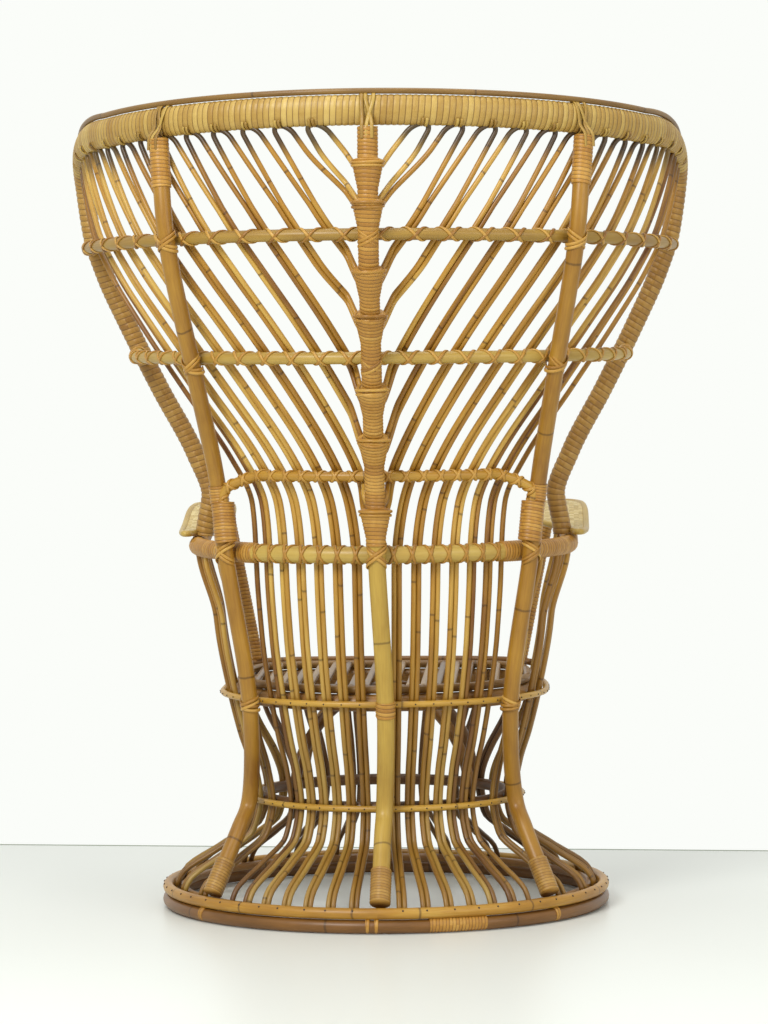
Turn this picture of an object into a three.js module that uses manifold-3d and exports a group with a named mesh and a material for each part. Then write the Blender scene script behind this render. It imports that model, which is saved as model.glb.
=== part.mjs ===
// Peacock chair of bent rattan poles and paired canes, in millimetres, +Z up.
// The sitter faces -Y, so the fan back stands at +Y and the sitter's left is +X.
// The cane layer is a surface round a vertical axis: a flared skirt, a narrow waist and a fan.
// A place on it is an azimuth from the rear centre, a height and an offset along the outward normal.

import * as THREE from 'three';
import Module from 'manifold-3d';

const wasm = await Module();
wasm.setup();

// Clearances and facets
const CLEARANCE = 0.5;
const CROSSING = 1.05;
const POST_GAP = 0.6;
const CHORD_ERROR = 0.5;
const CANE_SIDES = 4;
const HOOP_SIDES = 6;
const BAND_SIDES = 8;
const HOOP_STATIONS = 360;
const PATH_STATIONS = 60;
const BASE_STATIONS = 44;

// Radii of the canes and poles
const CANE = 3.25;
const BASE_POLE = 9.5;
const BASE_OUTER_CANE = 8;
const BASE_INNER_CANE = 6;
const WAIST_CANE = 4.5;
const WAIST_POLE = 8;
const POST = 11.5;
const SPINE = 12;
const TOP_RAIL = 9.5;
const MIDDLE_RAIL = 9.5;
const LUMBAR_RAIL = 8;
const LUMBAR_LIFT = 0.8;
const ARM_RAIL = 13;
const LIMB = 11;
const RIM_HALF_HEIGHT = 20.5;
const RIM_CAP = 4;
const SEAT_POLE = 12;
const SEAT_EDGE = 6;
const SLAT = 5;
const SKIRT_RAIL = 5;
const ARCH_POLE = 8;
const ARM_EDGE = 4.5;
const STRUT = 9;
const FOOT_WRAP = 2;

// Main sizes
const BASE_RADIUS = 320;
const FOOT_BEND = 17;
const RIM_HEIGHT = 1115;
const RIM_DROOP = 40;
const RIM_CORNER_HEIGHT = 80;
const RIM_CORNER_START = 60;
const LIMB_AZIMUTH = 88;
const LIMB_TURN = 70;
const LIMB_LANDING = 8;

// Heights of the rails and hoops at the spine
const LOWER_HOOP_HEIGHT = 157;
const UPPER_HOOP_HEIGHT = 306;
const ARM_RAIL_HEIGHT = 515;
const LUMBAR_HEIGHT = 628;
const MIDDLE_HEIGHT = 792;
const TOP_HEIGHT = 954;
const TOP_DROOP = 15;

// Radius of the cane layer at a few heights above the base rings
const WAIST_AND_FAN = [
  [81, 240], [112, 198], [157, 186.5], [206, 194.5], [249, 208], [306, 222],
  [399, 239], [512, 248], [582, 246], [646, 268], [739, 317], [832, 363], [901, 394], [962, 413],
  [1072, 426], [1152, 430],
];

// Fan canes: pairs stand one step apart, and the whole row slides towards the spine below the rim
const PAIR_STEP = 6.3;
const FIRST_PAIR = 6.3;
const HAIRPINS_PER_SIDE = 13;
const PAIRS_AT_SPINE = 7;
const FAN_BOTTOM = 488;
const FAN_EASE = 160;
const PAIRS_OVER_FAN = 7.3;
const PAIR_SPLIT = 0.6;
const LOOP_HALF_WIDTH = 13;
const LOOP_SPREAD = 40;
const TUCK_START = 26;
const RAIL_MARGIN = 20;
const DRAW_LENGTH = 80;
const TUCK_ANGLE = 35;
const TURN_POINTS = 3;

// Posts: azimuth by height, and how far they stand off the canes where these curve in
const FLARE_HEIGHT = 92;
const POST_LEAN = [
  [0, 51], [FLARE_HEIGHT, 55], [LOWER_HOOP_HEIGHT, 58], [UPPER_HOOP_HEIGHT, 47.5], [ARM_RAIL_HEIGHT, 46.5],
  [LUMBAR_HEIGHT, 49], [MIDDLE_HEIGHT, 41.4], [TOP_HEIGHT, 38.2], [RIM_HEIGHT, 40.6],
];
const SPINE_LEAN = [
  [0, -0.6], [LOWER_HOOP_HEIGHT, -1.8], [UPPER_HOOP_HEIGHT, -2.4], [ARM_RAIL_HEIGHT, -0.3],
  [LUMBAR_HEIGHT, 0], [RIM_HEIGHT, 0],
];
const FLARE_STAND_OFF = 25;
const WAIST_STAND_OFF = 10;
const FOOT_TILT = 40;
const ARM_RAIL_EASE = 1.6;
const LUMBAR_EASE = 6;
const POST_SPANS = 20;

// Seat, skirt and sides
const SLAT_PITCH = 20;
const FRONT_AZIMUTH = 180;
const FRONT_CANES = 14;
const FRONT_SPAN = 104;
const FRONT_EDGE_HEIGHT = 330;
const SIDE_FIRST = 57;
const SIDE_LAST = 125;
const SIDE_CANES = 12;
const SIDE_SPREAD_HEIGHT = 412;
const SQUARE_START = 162;
const SQUARE_FULL = 282;
const ARCH_TURN = 45;

// Arms
const ARM_RISE = 28;
const ARM_RISE_LENGTH = 200;
const STRUT_TOP_AZIMUTH = 131;
const STRUT_FOOT_AZIMUTH = 134;
const SIDE_RAIL_START = 50.5;
const PAD_REAR = 50;
const PAD_FRONT = -262;
const PAD_OUTER = 296;
const PAD_TAIL_WIDTH = 22;
const PAD_WIDTH = 84;
const PAD_STEP_FRONT = -78;
const PAD_STEP_REAR = -12;
const PAD_THICKNESS = 6;
const WEAVE_ROWS = 20;
const WEAVE_GAP = 1.8;

// Windings
const FOOT_TURNS = 8;
const FOOT_PITCH = 4.7;
const FOOT_START = 12;
const TURN_STEPS = 8;

// Colours
const STRAW = new THREE.MeshStandardMaterial({ color: 0xd9b878, roughness: 0.55, metalness: 0 });
const HONEY = new THREE.MeshStandardMaterial({ color: 0xc08a3c, roughness: 0.4, metalness: 0 });
const TAN = new THREE.MeshStandardMaterial({ color: 0xa8743a, roughness: 0.45, metalness: 0 });
const BROWN = new THREE.MeshStandardMaterial({ color: 0x8a5628, roughness: 0.45, metalness: 0 });
const BINDING = new THREE.MeshStandardMaterial({ color: 0xb9772f, roughness: 0.5, metalness: 0 });

const rad = THREE.MathUtils.degToRad;
const lerp = THREE.MathUtils.lerp;
const ease = THREE.MathUtils.smoothstep;
const range = (count) => Array.from({ length: count }, (_, index) => index);
const spread = (from, to, count) => range(count + 1).map((index) => lerp(from, to, index / count));

// Base rings: the cane feet stand between the outer and the inner ring, above the base pole
const basePoleRadius = BASE_RADIUS - BASE_POLE;
const outerRingHeight = 2 * BASE_POLE + CLEARANCE + BASE_OUTER_CANE;
const innerRingHeight = 2 * BASE_POLE + CLEARANCE + BASE_INNER_CANE;
const outerRingRadius = BASE_RADIUS - BASE_OUTER_CANE;
const footRadius = outerRingRadius - BASE_OUTER_CANE - CROSSING - CANE;
const innerRingRadius = footRadius - CANE - CROSSING - BASE_INNER_CANE;
const footHeight = outerRingHeight;
const ringTop = outerRingHeight + BASE_OUTER_CANE;

// The cane layer's radius by height: a smooth curve with no overshoot through its points
const MERIDIAN = [
  [footHeight, footRadius], [footHeight + FOOT_BEND, footRadius - 2 * CANE],
  ...WAIST_AND_FAN,
];

function slopeThrough(points, index) {
  if (index === 0 || index === points.length - 1) return 0;
  const before = (points[index][1] - points[index - 1][1]) / (points[index][0] - points[index - 1][0]);
  const after = (points[index + 1][1] - points[index][1]) / (points[index + 1][0] - points[index][0]);
  return before * after <= 0 ? 0 : (2 * before * after) / (before + after);
}

function curveValue(points, at) {
  const last = points.length - 2;
  const found = points.findIndex((point, index) => index > 0 && at <= point[0]);
  const index = found < 0 ? last : found - 1;
  const [x0, y0] = points[index];
  const [x1, y1] = points[index + 1];
  const span = x1 - x0;
  const t = THREE.MathUtils.clamp((at - x0) / span, 0, 1);
  const s0 = slopeThrough(points, index) * span;
  const s1 = slopeThrough(points, index + 1) * span;
  const t2 = t * t;
  const t3 = t2 * t;
  return (2 * t3 - 3 * t2 + 1) * y0 + (t3 - 2 * t2 + t) * s0 + (3 * t2 - 2 * t3) * y1 + (t3 - t2) * s1;
}

const caneRadius = (height) => curveValue(MERIDIAN, height);

// In front the plan squares off between the waist and the seat, so that the seat edge is straight
function squareness(azimuth, height) {
  const angle = Math.abs(azimuth);
  if (angle <= 90) return 1;
  const cosine = Math.cos(rad(angle));
  const sine = Math.sin(rad(angle));
  const square = Math.pow(cosine ** 4 + sine ** 4, -0.25);
  return lerp(1, square, ease(height, SQUARE_START, SQUARE_FULL));
}

function meridianNormal(height) {
  const step = 0.5;
  const rise = (caneRadius(height + step) - caneRadius(height - step)) / (2 * step);
  const length = Math.hypot(1, rise);
  return [1 / length, -rise / length];
}

// Outward direction in plan: along the radius behind, and square to the squared outline in front
function planNormal(azimuth, height) {
  const round = new THREE.Vector3(Math.sin(rad(azimuth)), Math.cos(rad(azimuth)), 0);
  if (Math.abs(azimuth) <= 90) return round;
  const square = new THREE.Vector3(round.x ** 3, round.y ** 3, 0).normalize();
  return round.lerp(square, ease(height, SQUARE_START, SQUARE_FULL)).normalize();
}

function outwardAt(azimuth, height) {
  const [outward, upward] = meridianNormal(height);
  return planNormal(azimuth, height).multiplyScalar(outward).setZ(upward);
}

function place(azimuth, height, offset = 0) {
  const radius = caneRadius(height) * squareness(azimuth, height);
  const point = new THREE.Vector3(radius * Math.sin(rad(azimuth)), radius * Math.cos(rad(azimuth)), height);
  return point.addScaledVector(outwardAt(azimuth, height), offset);
}

// A place at the same height as the layer, moved level until its distance to the layer is the offset
function levelPlace(azimuth, height, offset) {
  const [outward] = meridianNormal(height);
  return place(azimuth, height).addScaledVector(planNormal(azimuth, height), offset / outward);
}

// Heights where a cane's path has a point: down the flare, at each hoop and rail, and beside the arms
const caneHeights = [
  ...MERIDIAN.map(([height]) => height).filter((height) => height < LOWER_HOOP_HEIGHT),
  LOWER_HOOP_HEIGHT, LOWER_HOOP_HEIGHT + 3 * WAIST_CANE, UPPER_HOOP_HEIGHT,
  (UPPER_HOOP_HEIGHT + ARM_RAIL_HEIGHT) / 2, ARM_RAIL_HEIGHT,
  (ARM_RAIL_HEIGHT + LUMBAR_HEIGHT) / 2, LUMBAR_HEIGHT, MIDDLE_HEIGHT, TOP_HEIGHT,
];

const degreesFor = (length, height) => THREE.MathUtils.radToDeg(length / caneRadius(height));

// A station of a pole: its centre, the outward direction there and its half sizes across and outward
const station = (point, normal, radius, tall = radius) => ({ point, normal, radius, tall });
const layerStation = (azimuth, height, offset, radius, tall) => (
  station(place(azimuth, height, offset), outwardAt(azimuth, height), radius, tall));

function mirrored(stations, side) {
  const flip = (vector) => new THREE.Vector3(side * vector.x, vector.y, vector.z);
  return stations.map((stop) => ({ ...stop, point: flip(stop.point), normal: flip(stop.normal) }));
}

// Drops the stations that a straight chord passes within the chord error
function thin(stations, error = CHORD_ERROR) {
  if (stations.length < 3) return stations;
  const chord = new THREE.Line3(stations[0].point, stations[stations.length - 1].point);
  const nearest = new THREE.Vector3();
  let worst = 0;
  let split = 0;
  stations.forEach(({ point }, index) => {
    const distance = chord.closestPointToPoint(point, true, nearest).distanceTo(point);
    if (distance > worst) {
      worst = distance;
      split = index;
    }
  });
  if (worst <= error) return [stations[0], stations[stations.length - 1]];
  return [...thin(stations.slice(0, split + 1), error).slice(0, -1), ...thin(stations.slice(split), error)];
}

function signedVolume(position, triangles) {
  const corner = (index) => new THREE.Vector3().fromArray(position, 3 * index);
  let volume = 0;
  for (let k = 0; k < triangles.length; k += 3) {
    const [a, b, c] = [corner(triangles[k]), corner(triangles[k + 1]), corner(triangles[k + 2])];
    volume += a.dot(b.cross(c)) / 6;
  }
  return volume;
}

function solid(position, triangles) {
  const outward = signedVolume(position, triangles) > 0 ? triangles : [...triangles].reverse();
  const geometry = new THREE.BufferGeometry();
  geometry.setAttribute('position', new THREE.Float32BufferAttribute(position, 3));
  geometry.setIndex(outward);
  return geometry;
}

// Joins rings of equal point counts into one closed skin, end to end or round a closed path
function loft(rings, closed = false) {
  const sides = rings[0].length;
  const position = rings.flat().flatMap((point) => point.toArray());
  const triangles = [];
  const spans = closed ? rings.length : rings.length - 1;
  for (let ring = 0; ring < spans; ring += 1) {
    const next = (ring + 1) % rings.length;
    for (let side = 0; side < sides; side += 1) {
      const turn = (side + 1) % sides;
      const [a, b] = [ring * sides + side, ring * sides + turn];
      const [c, d] = [next * sides + side, next * sides + turn];
      triangles.push(a, b, d, a, d, c);
    }
  }
  if (!closed) {
    const end = (rings.length - 1) * sides;
    for (let side = 1; side < sides - 1; side += 1) {
      triangles.push(0, side + 1, side, end, end + side, end + side + 1);
    }
  }
  return solid(position, triangles);
}

function tangents(points, closed) {
  const count = points.length;
  return points.map((point, index) => {
    const before = closed ? points[(index + count - 1) % count] : points[Math.max(index - 1, 0)];
    const after = closed ? points[(index + 1) % count] : points[Math.min(index + 1, count - 1)];
    const inward = point.clone().sub(before).normalize();
    const onward = after.clone().sub(point).normalize();
    return inward.add(onward).normalize();
  });
}

// A round pole through stations, faceted so that a flat lies at the full radius on its outward side
function pole(stations, sides, closed = false) {
  const directions = tangents(stations.map(({ point }) => point), closed);
  const phase = sides % 4 === 0 ? 0.5 : 0;
  const reach = 1 / Math.cos(Math.PI / sides);
  return loft(stations.map(({ point, normal, radius, tall }, index) => {
    const across = normal.clone().cross(directions[index]).normalize();
    const outward = directions[index].clone().cross(across);
    return range(sides).map((side) => {
      const angle = (2 * Math.PI * (side + phase)) / sides;
      const corner = point.clone().addScaledVector(across, tall * reach * Math.cos(angle));
      return corner.addScaledVector(outward, radius * reach * Math.sin(angle));
    });
  }), closed);
}

const UP = new THREE.Vector3(0, 0, 1);

// A closed hoop from stations that go once round, the first of them kept and the one across from it
function hoop(stations, sides) {
  const half = stations.length / 2;
  const first = thin(stations.slice(0, half + 1)).slice(0, -1);
  const second = thin([...stations.slice(half), stations[0]]).slice(0, -1);
  return pole([...first, ...second], sides, true);
}

const turnOf = (steps) => range(steps).map((step) => (360 * step) / steps - 180);
const roundTurn = turnOf(HOOP_STATIONS);
const baseTurn = turnOf(BASE_STATIONS);

function waistHoop(height) {
  const offset = outside(WAIST_CANE);
  const stations = roundTurn.map((azimuth) => (
    station(levelPlace(azimuth, height, offset), planNormal(azimuth, height), WAIST_CANE)));
  return hoop(stations, HOOP_SIDES);
}

function baseHoop(radius, height, thickness) {
  const stations = baseTurn.map((azimuth) => (
    station(planNormal(azimuth, 0).multiplyScalar(radius).setZ(height), UP, thickness)));
  return pole(stations, BAND_SIDES, true);
}

function asManifold(geometry) {
  const vertProperties = new Float32Array(geometry.attributes.position.array);
  const triVerts = new Uint32Array(geometry.index.array);
  return new wasm.Manifold(new wasm.Mesh({ numProp: 3, vertProperties, triVerts }));
}

function joined(geometries) {
  const whole = geometries.map(asManifold).reduce((sum, piece) => sum.add(piece));
  const mesh = whole.getMesh();
  return solid(Array.from(mesh.vertProperties), Array.from(mesh.triVerts));
}

const chair = new THREE.Group();

function addPiece(name, geometry, material) {
  geometry.computeVertexNormals();
  const mesh = new THREE.Mesh(geometry, material);
  mesh.name = name;
  chair.add(mesh);
}

const SIDES = [['left', 1], ['right', -1]];

// Base: a thick pole on the floor and two canes on it that hold the cane feet
addPiece('base_hoop', baseHoop(basePoleRadius, BASE_POLE, BASE_POLE), BROWN);
addPiece('base_ring_outer', baseHoop(outerRingRadius, outerRingHeight, BASE_OUTER_CANE), HONEY);
addPiece('base_ring_inner', baseHoop(innerRingRadius, innerRingHeight, BASE_INNER_CANE), BROWN);

// Waist hoops lie outside the canes
const outside = (radius) => CANE + CROSSING + radius;
addPiece('lower_waist_hoop', waistHoop(LOWER_HOOP_HEIGHT), HONEY);
addPiece('upper_waist_hoop', waistHoop(UPPER_HOOP_HEIGHT), HONEY);

// Back hoop: a droop along the rim, an elliptical corner, then a limb down to the arm rail
const rimHeight = (azimuth) => RIM_HEIGHT - RIM_DROOP * (1 - Math.cos(rad(azimuth)));
const limbTop = rimHeight(RIM_CORNER_START) - RIM_CORNER_HEIGHT;
const limbFoot = ARM_RAIL_HEIGHT + ARM_RAIL + CLEARANCE;

function halfBackHoop() {
  const rim = spread(0, RIM_CORNER_START, PATH_STATIONS).map((azimuth) => (
    layerStation(azimuth, rimHeight(azimuth), 0, LIMB, RIM_HALF_HEIGHT)));
  const corner = spread(0, 90, PATH_STATIONS).slice(1).map((angle) => {
    const azimuth = lerp(RIM_CORNER_START, LIMB_AZIMUTH, Math.sin(rad(angle)));
    const height = limbTop + RIM_CORNER_HEIGHT * Math.cos(rad(angle));
    return layerStation(azimuth, height, 0, LIMB, lerp(RIM_HALF_HEIGHT, LIMB, ease(angle, 0, 90)));
  });
  const limb = spread(limbTop, limbFoot, PATH_STATIONS).slice(1).map((height) => {
    const offset = LIMB_LANDING * (1 - ease(height, limbFoot, limbFoot + LIMB_TURN));
    return layerStation(LIMB_AZIMUTH, height, offset, LIMB);
  });
  return [...rim, ...corner, ...limb];
}

const halfHoop = halfBackHoop();
const keptHalf = thin(halfHoop, 2 * CHORD_ERROR);
const bothSides = (half) => [...mirrored(half.slice(1), -1).reverse(), ...half];
addPiece('back_hoop', pole(bothSides(keptHalf), BAND_SIDES), STRAW);

// Rim cap: a thin cane on the band's outer edge, from corner to corner
const cappedHalf = keptHalf.filter(({ tall }) => tall > LIMB);
const edgeDirections = tangents(keptHalf.map(({ point }) => point), false);
const capHalf = cappedHalf.map(({ point, normal, tall }, index) => {
  const across = edgeDirections[index].clone().cross(normal).normalize();
  const centre = point.clone().addScaledVector(across, tall + CLEARANCE + RIM_CAP);
  return station(centre, across, RIM_CAP);
});
addPiece('rim_cap', pole(bothSides(capHalf), CANE_SIDES), BROWN);

// Rails cross the back between the limbs, outside the canes
const railEnd = (height) => LIMB_AZIMUTH - degreesFor(LIMB + CLEARANCE, height);

function backRail(height, droop, radius) {
  const end = railEnd(height);
  const steps = 2 * PATH_STATIONS;
  const line = spread(-end, end, steps).map((azimuth) => (
    layerStation(azimuth, height - droop * (1 - Math.cos(rad(azimuth))), outside(radius), radius)));
  return pole(thin(line), HOOP_SIDES);
}

addPiece('top_rail', backRail(TOP_HEIGHT, TOP_DROOP, TOP_RAIL), STRAW);
addPiece('middle_rail', backRail(MIDDLE_HEIGHT, 0, MIDDLE_RAIL), STRAW);

// Posts and spine stand outside the hoops and rails that they pass
const beyond = (railRadius, radius) => outside(railRadius) + railRadius + POST_GAP + radius;
const footTilt = rad(FOOT_TILT);

function postLine(radius, leanPoints) {
  const lean = (height) => curveValue(leanPoints, height);
  const foot = new THREE.Vector3(0, footRadius, ringTop + CLEARANCE / 2 + radius * Math.cos(footTilt));
  foot.applyAxisAngle(new THREE.Vector3(0, 0, -1), rad(lean(0)));
  const head = rimHeight(lean(RIM_HEIGHT)) - RIM_HALF_HEIGHT - 2 * CLEARANCE;
  const resting = CANE + CLEARANCE + radius;
  const stops = [
    [FLARE_HEIGHT, resting + FLARE_STAND_OFF],
    [LOWER_HOOP_HEIGHT, beyond(WAIST_CANE, radius) + WAIST_STAND_OFF],
    [UPPER_HOOP_HEIGHT, beyond(WAIST_CANE, radius)],
    [ARM_RAIL_HEIGHT, beyond(ARM_RAIL, radius) + ARM_RAIL_EASE],
    [LUMBAR_HEIGHT, beyond(LUMBAR_RAIL, radius) + LUMBAR_EASE],
    [MIDDLE_HEIGHT, beyond(MIDDLE_RAIL, radius)],
    [TOP_HEIGHT, beyond(TOP_RAIL, radius)],
    [head, resting],
  ];
  const through = stops.map(([height, offset]) => place(lean(height), height, offset));
  const curve = new THREE.CatmullRomCurve3([foot, ...through], false, 'centripetal');
  const line = curve.getPoints(POST_SPANS * stops.length).map((point) => (
    station(point, outwardAt(azimuthOf(point), Math.max(point.z, footHeight + FOOT_BEND)), radius)));
  const spans = stops.map((_, index) => thin(line.slice(POST_SPANS * index, POST_SPANS * (index + 1) + 1)));
  return [...spans.flatMap((span) => span.slice(0, -1)), line[line.length - 1]];
}

const azimuthOf = (point) => THREE.MathUtils.radToDeg(Math.atan2(point.x, point.y));
const spineLine = postLine(SPINE, SPINE_LEAN);
const leftPostLine = postLine(POST, POST_LEAN);
addPiece('spine_post', pole(spineLine, BAND_SIDES), HONEY);
for (const [name, side] of SIDES) {
  addPiece(`${name}_post`, pole(mirrored(leftPostLine, side), BAND_SIDES), HONEY);
}

// The centre of a post at a height, from its line
function onLine(line, height) {
  const found = line.findIndex(({ point }) => point.z >= height);
  const above = found > 0 ? found : line.length - 1;
  const [low, high] = [line[above - 1].point, line[above].point];
  return low.clone().lerp(high, (height - low.z) / (high.z - low.z));
}

// The rear arm rail passes inside the posts, and the lumbar rail's ends turn down beside them
function arcRail(height, end, radius, lift = 0, dropAtEnd = 0, outAtEnd = 0) {
  const steps = 2 * PATH_STATIONS;
  const bend = degreesFor(3 * radius, height);
  const line = spread(-end, end, steps).map((azimuth) => {
    const turn = ease(Math.abs(azimuth), end - bend, end);
    const offset = outside(radius) + lift + outAtEnd * turn;
    return layerStation(azimuth, height - dropAtEnd * turn * turn, offset, radius);
  });
  return pole(thin(line), HOOP_SIDES);
}

const lumbarPost = onLine(leftPostLine, LUMBAR_HEIGHT - 2 * LUMBAR_RAIL);
const lumbarEnd = azimuthOf(lumbarPost) - degreesFor(POST + LUMBAR_RAIL, LUMBAR_HEIGHT);
const armPost = onLine(leftPostLine, ARM_RAIL_HEIGHT);
const armRailEnd = azimuthOf(armPost) + degreesFor(POST, ARM_RAIL_HEIGHT);
addPiece('lumbar_rail', arcRail(
  LUMBAR_HEIGHT, lumbarEnd, LUMBAR_RAIL, LUMBAR_LIFT, 3 * LUMBAR_RAIL, LUMBAR_RAIL), STRAW);
addPiece('arm_rail', arcRail(ARM_RAIL_HEIGHT, armRailEnd, ARM_RAIL), STRAW);

// Fan hairpins: each cane runs up, turns over under the rim and runs down again in the next pair
function rowShift(height) {
  const above = Math.max(height - FAN_BOTTOM, 0);
  const eased = above < FAN_EASE ? (above * above) / (2 * FAN_EASE) : above - FAN_EASE / 2;
  return PAIRS_AT_SPINE - (PAIRS_OVER_FAN * eased) / (RIM_HEIGHT - FAN_BOTTOM - FAN_EASE / 2);
}

const pairAzimuth = (pair, height) => FIRST_PAIR + PAIR_STEP * (pair - rowShift(height));

// Length of a leaning cane for each millimetre of the upright line beside it
function caneLean(height) {
  const low = place(pairAzimuth(0, height - 1), height - 1);
  const upright = low.distanceTo(place(pairAzimuth(0, height - 1), height + 1));
  return low.distanceTo(place(pairAzimuth(0, height + 1), height + 1)) / upright;
}

// Half the way between two legs of a hairpin: a round turn, then a spread into the pairs
function legReach(below, height) {
  const touching = (CANE + PAIR_SPLIT) * caneLean(height);
  const apart = rad(PAIR_STEP / 2) * caneRadius(height) - touching;
  if (below >= LOOP_HALF_WIDTH) {
    return lerp(LOOP_HALF_WIDTH, apart, Math.min((below - LOOP_HALF_WIDTH) / LOOP_SPREAD, 1));
  }
  return Math.sqrt(LOOP_HALF_WIDTH ** 2 - (LOOP_HALF_WIDTH - below) ** 2);
}

function legAzimuth(hairpin, leg, apex, height) {
  const middle = pairAzimuth(hairpin + 0.5, height);
  return middle + leg * degreesFor(legReach(apex - height, height), height);
}

// Where a leg meets the spine it ends against the spine's side
const tuckReach = SPINE + CANE + CLEARANCE;
const tuckEnd = tuckReach * Math.cos(rad(TUCK_ANGLE));

// A pair that would meet the spine behind a rail is drawn in sooner, to end above that rail
const passedRails = [[LUMBAR_HEIGHT, LUMBAR_RAIL], [MIDDLE_HEIGHT, MIDDLE_RAIL], [TOP_HEIGHT, TOP_RAIL]];

function pairTouches(pair, height) {
  return rad(pairAzimuth(pair, height)) * caneRadius(height) + (CANE + PAIR_SPLIT) * caneLean(height);
}

function drawnIn(pair) {
  let height = RIM_HEIGHT;
  while (pairTouches(pair, height) > tuckEnd) height -= 1;
  const rail = passedRails.find(([level, radius]) => (
    Math.abs(height - level) < radius + RAIL_MARGIN));
  if (!rail) return { height, pull: 0 };
  const end = rail[0] + rail[1] + RAIL_MARGIN;
  return { height: end, pull: pairTouches(pair, end) - tuckEnd };
}

function spineLegAzimuth(hairpin, leg, apex, height) {
  const { height: end, pull } = drawnIns[hairpin + (leg + 1) / 2];
  const inward = pull * (1 - ease(height, end, end + DRAW_LENGTH));
  return legAzimuth(hairpin, leg, apex, height) - degreesFor(inward, height);
}

function clearOfHoop(point) {
  return halfHoop.every((stop) => stop.point.distanceTo(point) > stop.tall + CANE + CROSSING);
}

const drawnIns = range(PAIRS_AT_SPINE).map(drawnIn);

function hairpinApex(hairpin) {
  const turn = spread(0, LOOP_HALF_WIDTH + LOOP_SPREAD, 2 * TURN_POINTS);
  let apex = MIDDLE_HEIGHT;
  const fits = (top) => turn.every((below) => [-1, 1].every((leg) => (
    clearOfHoop(place(legAzimuth(hairpin, leg, top, top - below), top - below)))));
  while (fits(apex + 1)) apex += 1;
  return apex;
}

// How far the spine stands out from the cane layer
function spineOffset(height) {
  const centre = onLine(spineLine, height);
  const [outward, upward] = meridianNormal(height);
  return (centre.y - caneRadius(height)) * outward + (centre.z - height) * upward;
}

// The height where a leg comes within a distance of the spine's plane
function heightNearSpine(hairpin, leg, apex, distance) {
  let height = apex;
  while (rad(spineLegAzimuth(hairpin, leg, apex, height)) * caneRadius(height) > distance) height -= 1;
  return height;
}

function hairpinLeg(hairpin, leg, apex) {
  const turn = spread(0, 1, TURN_POINTS).map((share) => apex - share * share * LOOP_HALF_WIDTH);
  const start = apex - LOOP_HALF_WIDTH - LOOP_SPREAD;
  const highest = apex - LOOP_HALF_WIDTH - 2 * CANE;
  const along = (lowest) => [...caneHeights, start].filter((height) => (
    height > lowest && height < highest)).sort((a, b) => b - a);
  if (hairpin + (leg + 1) / 2 >= PAIRS_AT_SPINE) {
    return [...turn, ...along(0)].map((height) => (
      layerStation(legAzimuth(hairpin, leg, apex, height), height, 0, CANE)));
  }
  const tuckTo = heightNearSpine(hairpin, leg, apex, tuckEnd);
  const ceilings = passedRails.map(([level, radius]) => level - radius - 2 * CANE);
  const tuckFrom = Math.min(
    heightNearSpine(hairpin, leg, apex, TUCK_START), ...ceilings.filter((height) => height > tuckTo));
  const across = (height) => rad(spineLegAzimuth(hairpin, leg, apex, height)) * caneRadius(height);
  const tucked = spread(tuckFrom, tuckTo, TURN_POINTS).map((height) => {
    const proud = spineOffset(height) - tuckReach * Math.sin(rad(TUCK_ANGLE));
    const risen = 1 - ease(across(height), tuckEnd, across(tuckFrom));
    return layerStation(spineLegAzimuth(hairpin, leg, apex, height), height, proud * risen, CANE);
  });
  const bend = (tuckFrom + drawnIns[hairpin + (leg + 1) / 2].height + DRAW_LENGTH) / 2;
  const open = [...turn, ...[...along(tuckFrom), bend].sort((a, b) => b - a)];
  const kept = open.filter((height) => height > tuckFrom + 2 * CANE && height <= apex);
  const onLayer = (height) => layerStation(spineLegAzimuth(hairpin, leg, apex, height), height, 0, CANE);
  return [...kept.map(onLayer), ...tucked];
}

const hairpinLines = range(HAIRPINS_PER_SIDE).map((hairpin) => {
  const apex = hairpinApex(hairpin);
  const inner = hairpinLeg(hairpin, -1, apex);
  const outer = hairpinLeg(hairpin, 1, apex);
  return [...inner.reverse(), ...outer.slice(1)];
});

for (const [name, side] of SIDES) {
  hairpinLines.forEach((line, index) => {
    const label = String(index + 1).padStart(2, '0');
    addPiece(`${name}_fan_cane_${label}`, pole(mirrored(line, side), CANE_SIDES), TAN);
  });
}

// Seat: a pole hoop inside the canes, and slats that lie on it inside an edge cane
const seatInset = CANE + CLEARANCE + SEAT_POLE / Math.cos(Math.PI / BAND_SIDES);
const slatHeight = UPPER_HOOP_HEIGHT + SEAT_POLE + CLEARANCE + SEAT_EDGE;
const seatLine = (azimuth, height) => levelPlace(azimuth, UPPER_HOOP_HEIGHT, -seatInset).setZ(height);
const seatLoop = (height, radius) => roundTurn.map((azimuth) => (
  station(seatLine(azimuth, height), UP, radius)));
addPiece('seat_hoop', hoop(seatLoop(UPPER_HOOP_HEIGHT, SEAT_POLE), BAND_SIDES), BROWN);

function slat(across) {
  const half = spread(0, 180, HOOP_STATIONS).map((azimuth) => seatLine(azimuth, slatHeight));
  const edge = half.filter((point) => point.x >= Math.abs(across));
  const front = edge[edge.length - 1].y;
  const rear = edge[0].y;
  const ends = [front, rear].map((y) => station(new THREE.Vector3(across, y, slatHeight), UP, SLAT));
  return pole(ends, CANE_SIDES);
}

const halfSlats = Math.floor((seatLine(90, slatHeight).x - SEAT_EDGE - SLAT) / SLAT_PITCH);
const slats = range(2 * halfSlats + 1).map((index) => slat((index - halfSlats) * SLAT_PITCH));
addPiece('seat_deck', joined([hoop(seatLoop(slatHeight, SEAT_EDGE), HOOP_SIDES), ...slats]), STRAW);

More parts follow.
